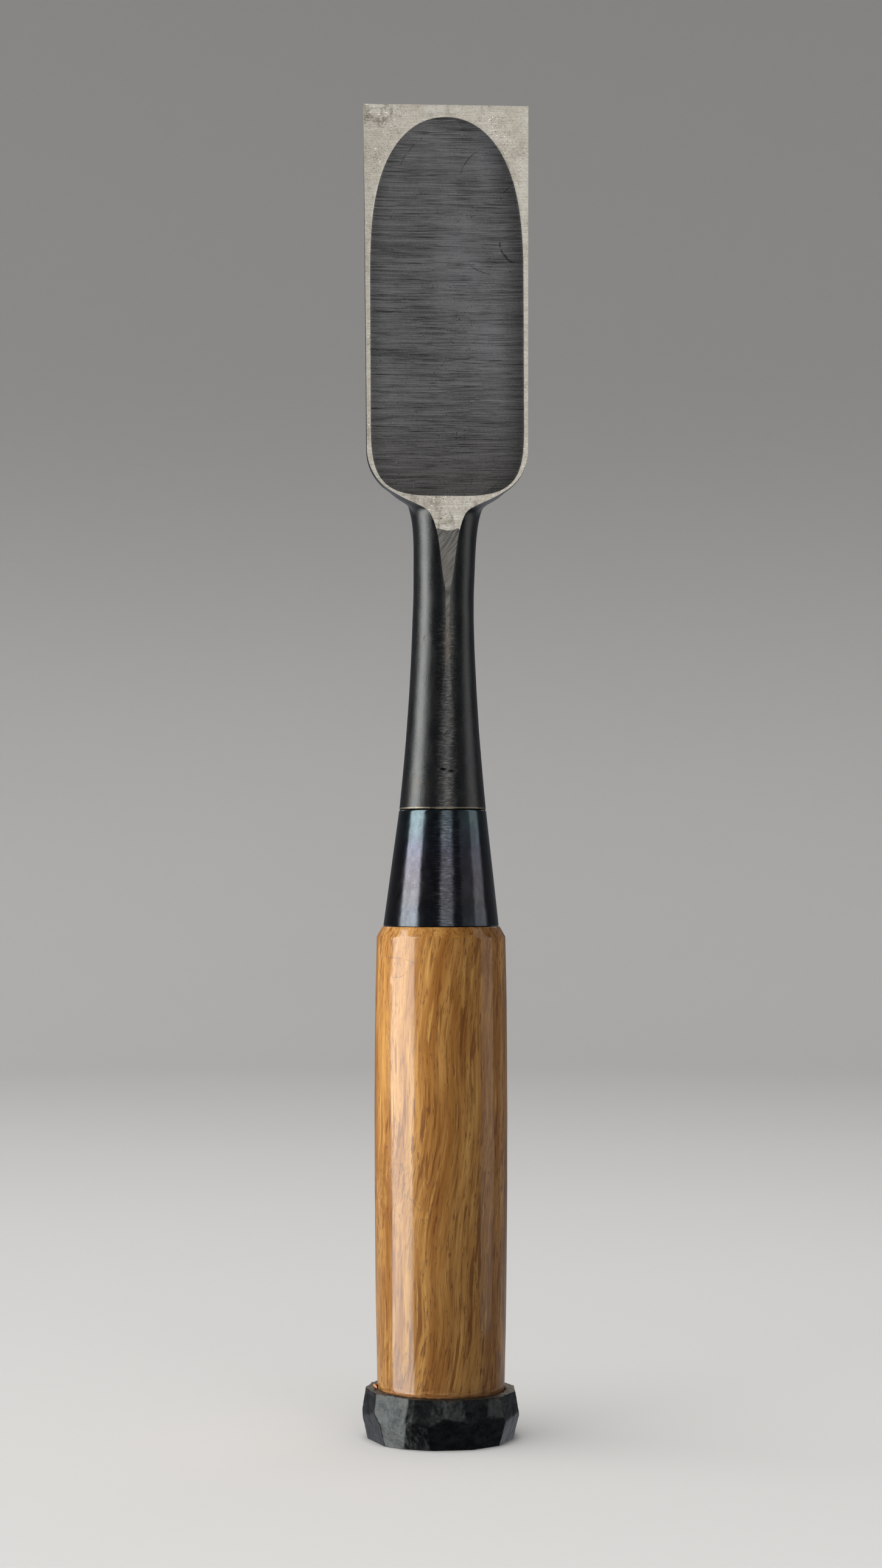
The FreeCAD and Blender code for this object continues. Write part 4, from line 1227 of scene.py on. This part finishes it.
def light_only(light, pieces):
    """Hides a light from the camera and lets it light these pieces only."""
    light.visible_camera = False
    receivers = bpy.data.collections.new(light.name)
    for piece in pieces:
        receivers.objects.link(piece)
    light.light_linking.receiver_collection = receivers


def softbox(name, azimuths, distance, heights, radiance, tint, pieces):
    """Upright area light that spans two azimuths from the camera's axis and lights these pieces."""
    middle, half = sum(azimuths) / 2, abs(azimuths[1] - azimuths[0]) / 2
    data = bpy.data.lights.new(name, "AREA")
    data.shape = "RECTANGLE"
    data.size = 2 * distance * math.tan(math.radians(half))
    data.size_y = heights[1] - heights[0]
    data.energy = radiance * math.pi * data.size * data.size_y
    data.color = tint
    obj = link_new(name, data)
    azimuth = CAMERA_AZIMUTH + middle
    obj.location = around_axis(azimuth, distance, sum(heights) / 2)
    obj.rotation_euler = (math.radians(90), 0, math.radians(azimuth))
    light_only(obj, pieces)


def overhead(receiver):
    """Large soft light above the chisel that gives the floor and its walls an even tone."""
    data = bpy.data.lights.new("overhead", "AREA")
    data.size = 1.6
    data.energy = 3.3 * math.pi * data.size**2
    obj = link_new("overhead", data)
    obj.location = (-0.35, -0.3, 1.5)
    light_only(obj, [receiver])


def lights(backdrop):
    warm, cool = (1.0, 0.98, 0.95), (1.0, 0.99, 0.96)
    blade, wood = [steel, iron], [handle_piece, splinter_piece]
    everything = [*blade, *wood, ferrule_piece, hoop_piece]
    softbox("key_wood", (-96, -48), 0.7, (-0.8, 0.8), 9.0, cool, wood)
    softbox("key_ferrule", (-91, -50), 0.7, (-0.8, 0.8), 6.5, cool, [ferrule_piece])
    softbox("key_hoop", (-96, -58), 0.7, (-0.8, 0.8), 5.5, cool, [hoop_piece])
    softbox("key_blade", (-98, -66), 0.7, (-0.8, 0.8), 6.3, cool, blade)
    softbox("edge_right", (74, 103), 0.7, (-0.1, 0.8), 1.0, warm, everything)
    softbox("soft_right", (44, 100), 0.75, (-0.1, 0.8), 0.25, warm, [ferrule_piece])
    softbox("front", (-2, 24), 0.8, (-0.1, 0.8), 1.7, warm, [*blade, ferrule_piece, hoop_piece])
    softbox("behind", (150, 215), 1.0, (0.5, 1.7), 2.2, warm, everything)
    overhead(backdrop)


def floor():
    """Pale round studio: a floor that curves up into a wall on all sides."""
    wall, bend, height = 1.7, 0.7, 2.0
    path = [(0.001, 0.0), (0.4, 0.0), (wall - bend, 0.0)]
    turns = np.radians(np.linspace(0, 90, 24)[1:])
    path += [(wall - bend + bend * math.sin(a), bend - bend * math.cos(a)) for a in turns]
    path.append((wall, height))
    rings = turned_rings([(radius / MM, z / MM, 0.0) for radius, z in path], FLOOR_AROUND)
    points = rings.reshape(-1, 3)
    faces = []
    for low in range(0, FLOOR_AROUND * (len(path) - 1), FLOOR_AROUND):
        faces += band(low, low + FLOOR_AROUND, FLOOR_AROUND).tolist()
    faces.append(list(range(FLOOR_AROUND)))
    obj = make_object("floor", points, faces, 60)
    sh = Shader("floor_pale")
    tone = sh.noise((300, 300, 300), 2, 0.5, seed=23)
    colour = sh.mix(tone, (0.72, 0.71, 0.69), (0.76, 0.75, 0.73))
    colour = sh.mix(sh.step(sh.z, 60, 500), colour, (0.46, 0.455, 0.445))
    obj.data.materials.append(sh.finish(Base_Color=colour, Roughness=0.75))
    obj.visible_glossy = False
    return obj


def world():
    """Dim surroundings; what metal mirrors low behind the chisel is as pale as the floor."""
    scene = bpy.context.scene
    scene.world = bpy.data.worlds.new("studio")
    scene.world.use_nodes = True
    graph = Graph(scene.world.node_tree)
    place = graph.parts(graph.node("ShaderNodeTexCoord", {}).outputs["Generated"])
    masks = []
    for axis, start, end in (("Y", 0.35, 0.6), ("Z", -0.06, -0.3)):
        inputs = {"Value": place[axis], "From Min": start, "From Max": end}
        masks.append(graph.node("ShaderNodeMapRange", inputs).outputs[0])
    both = graph.math("MULTIPLY", *masks)
    terms = {0: both, 1: MIRRORED_FLOOR, 2: AMBIENT}
    strength = graph.node("ShaderNodeMath", terms, operation="MULTIPLY_ADD").outputs[0]
    background = scene.world.node_tree.nodes["Background"]
    graph.put(background.inputs["Color"], (0.9, 0.92, 1.0, 1.0))
    graph.put(background.inputs["Strength"], strength)
    scene.view_settings.view_transform = "Standard"


camera()
lights(floor())
world()
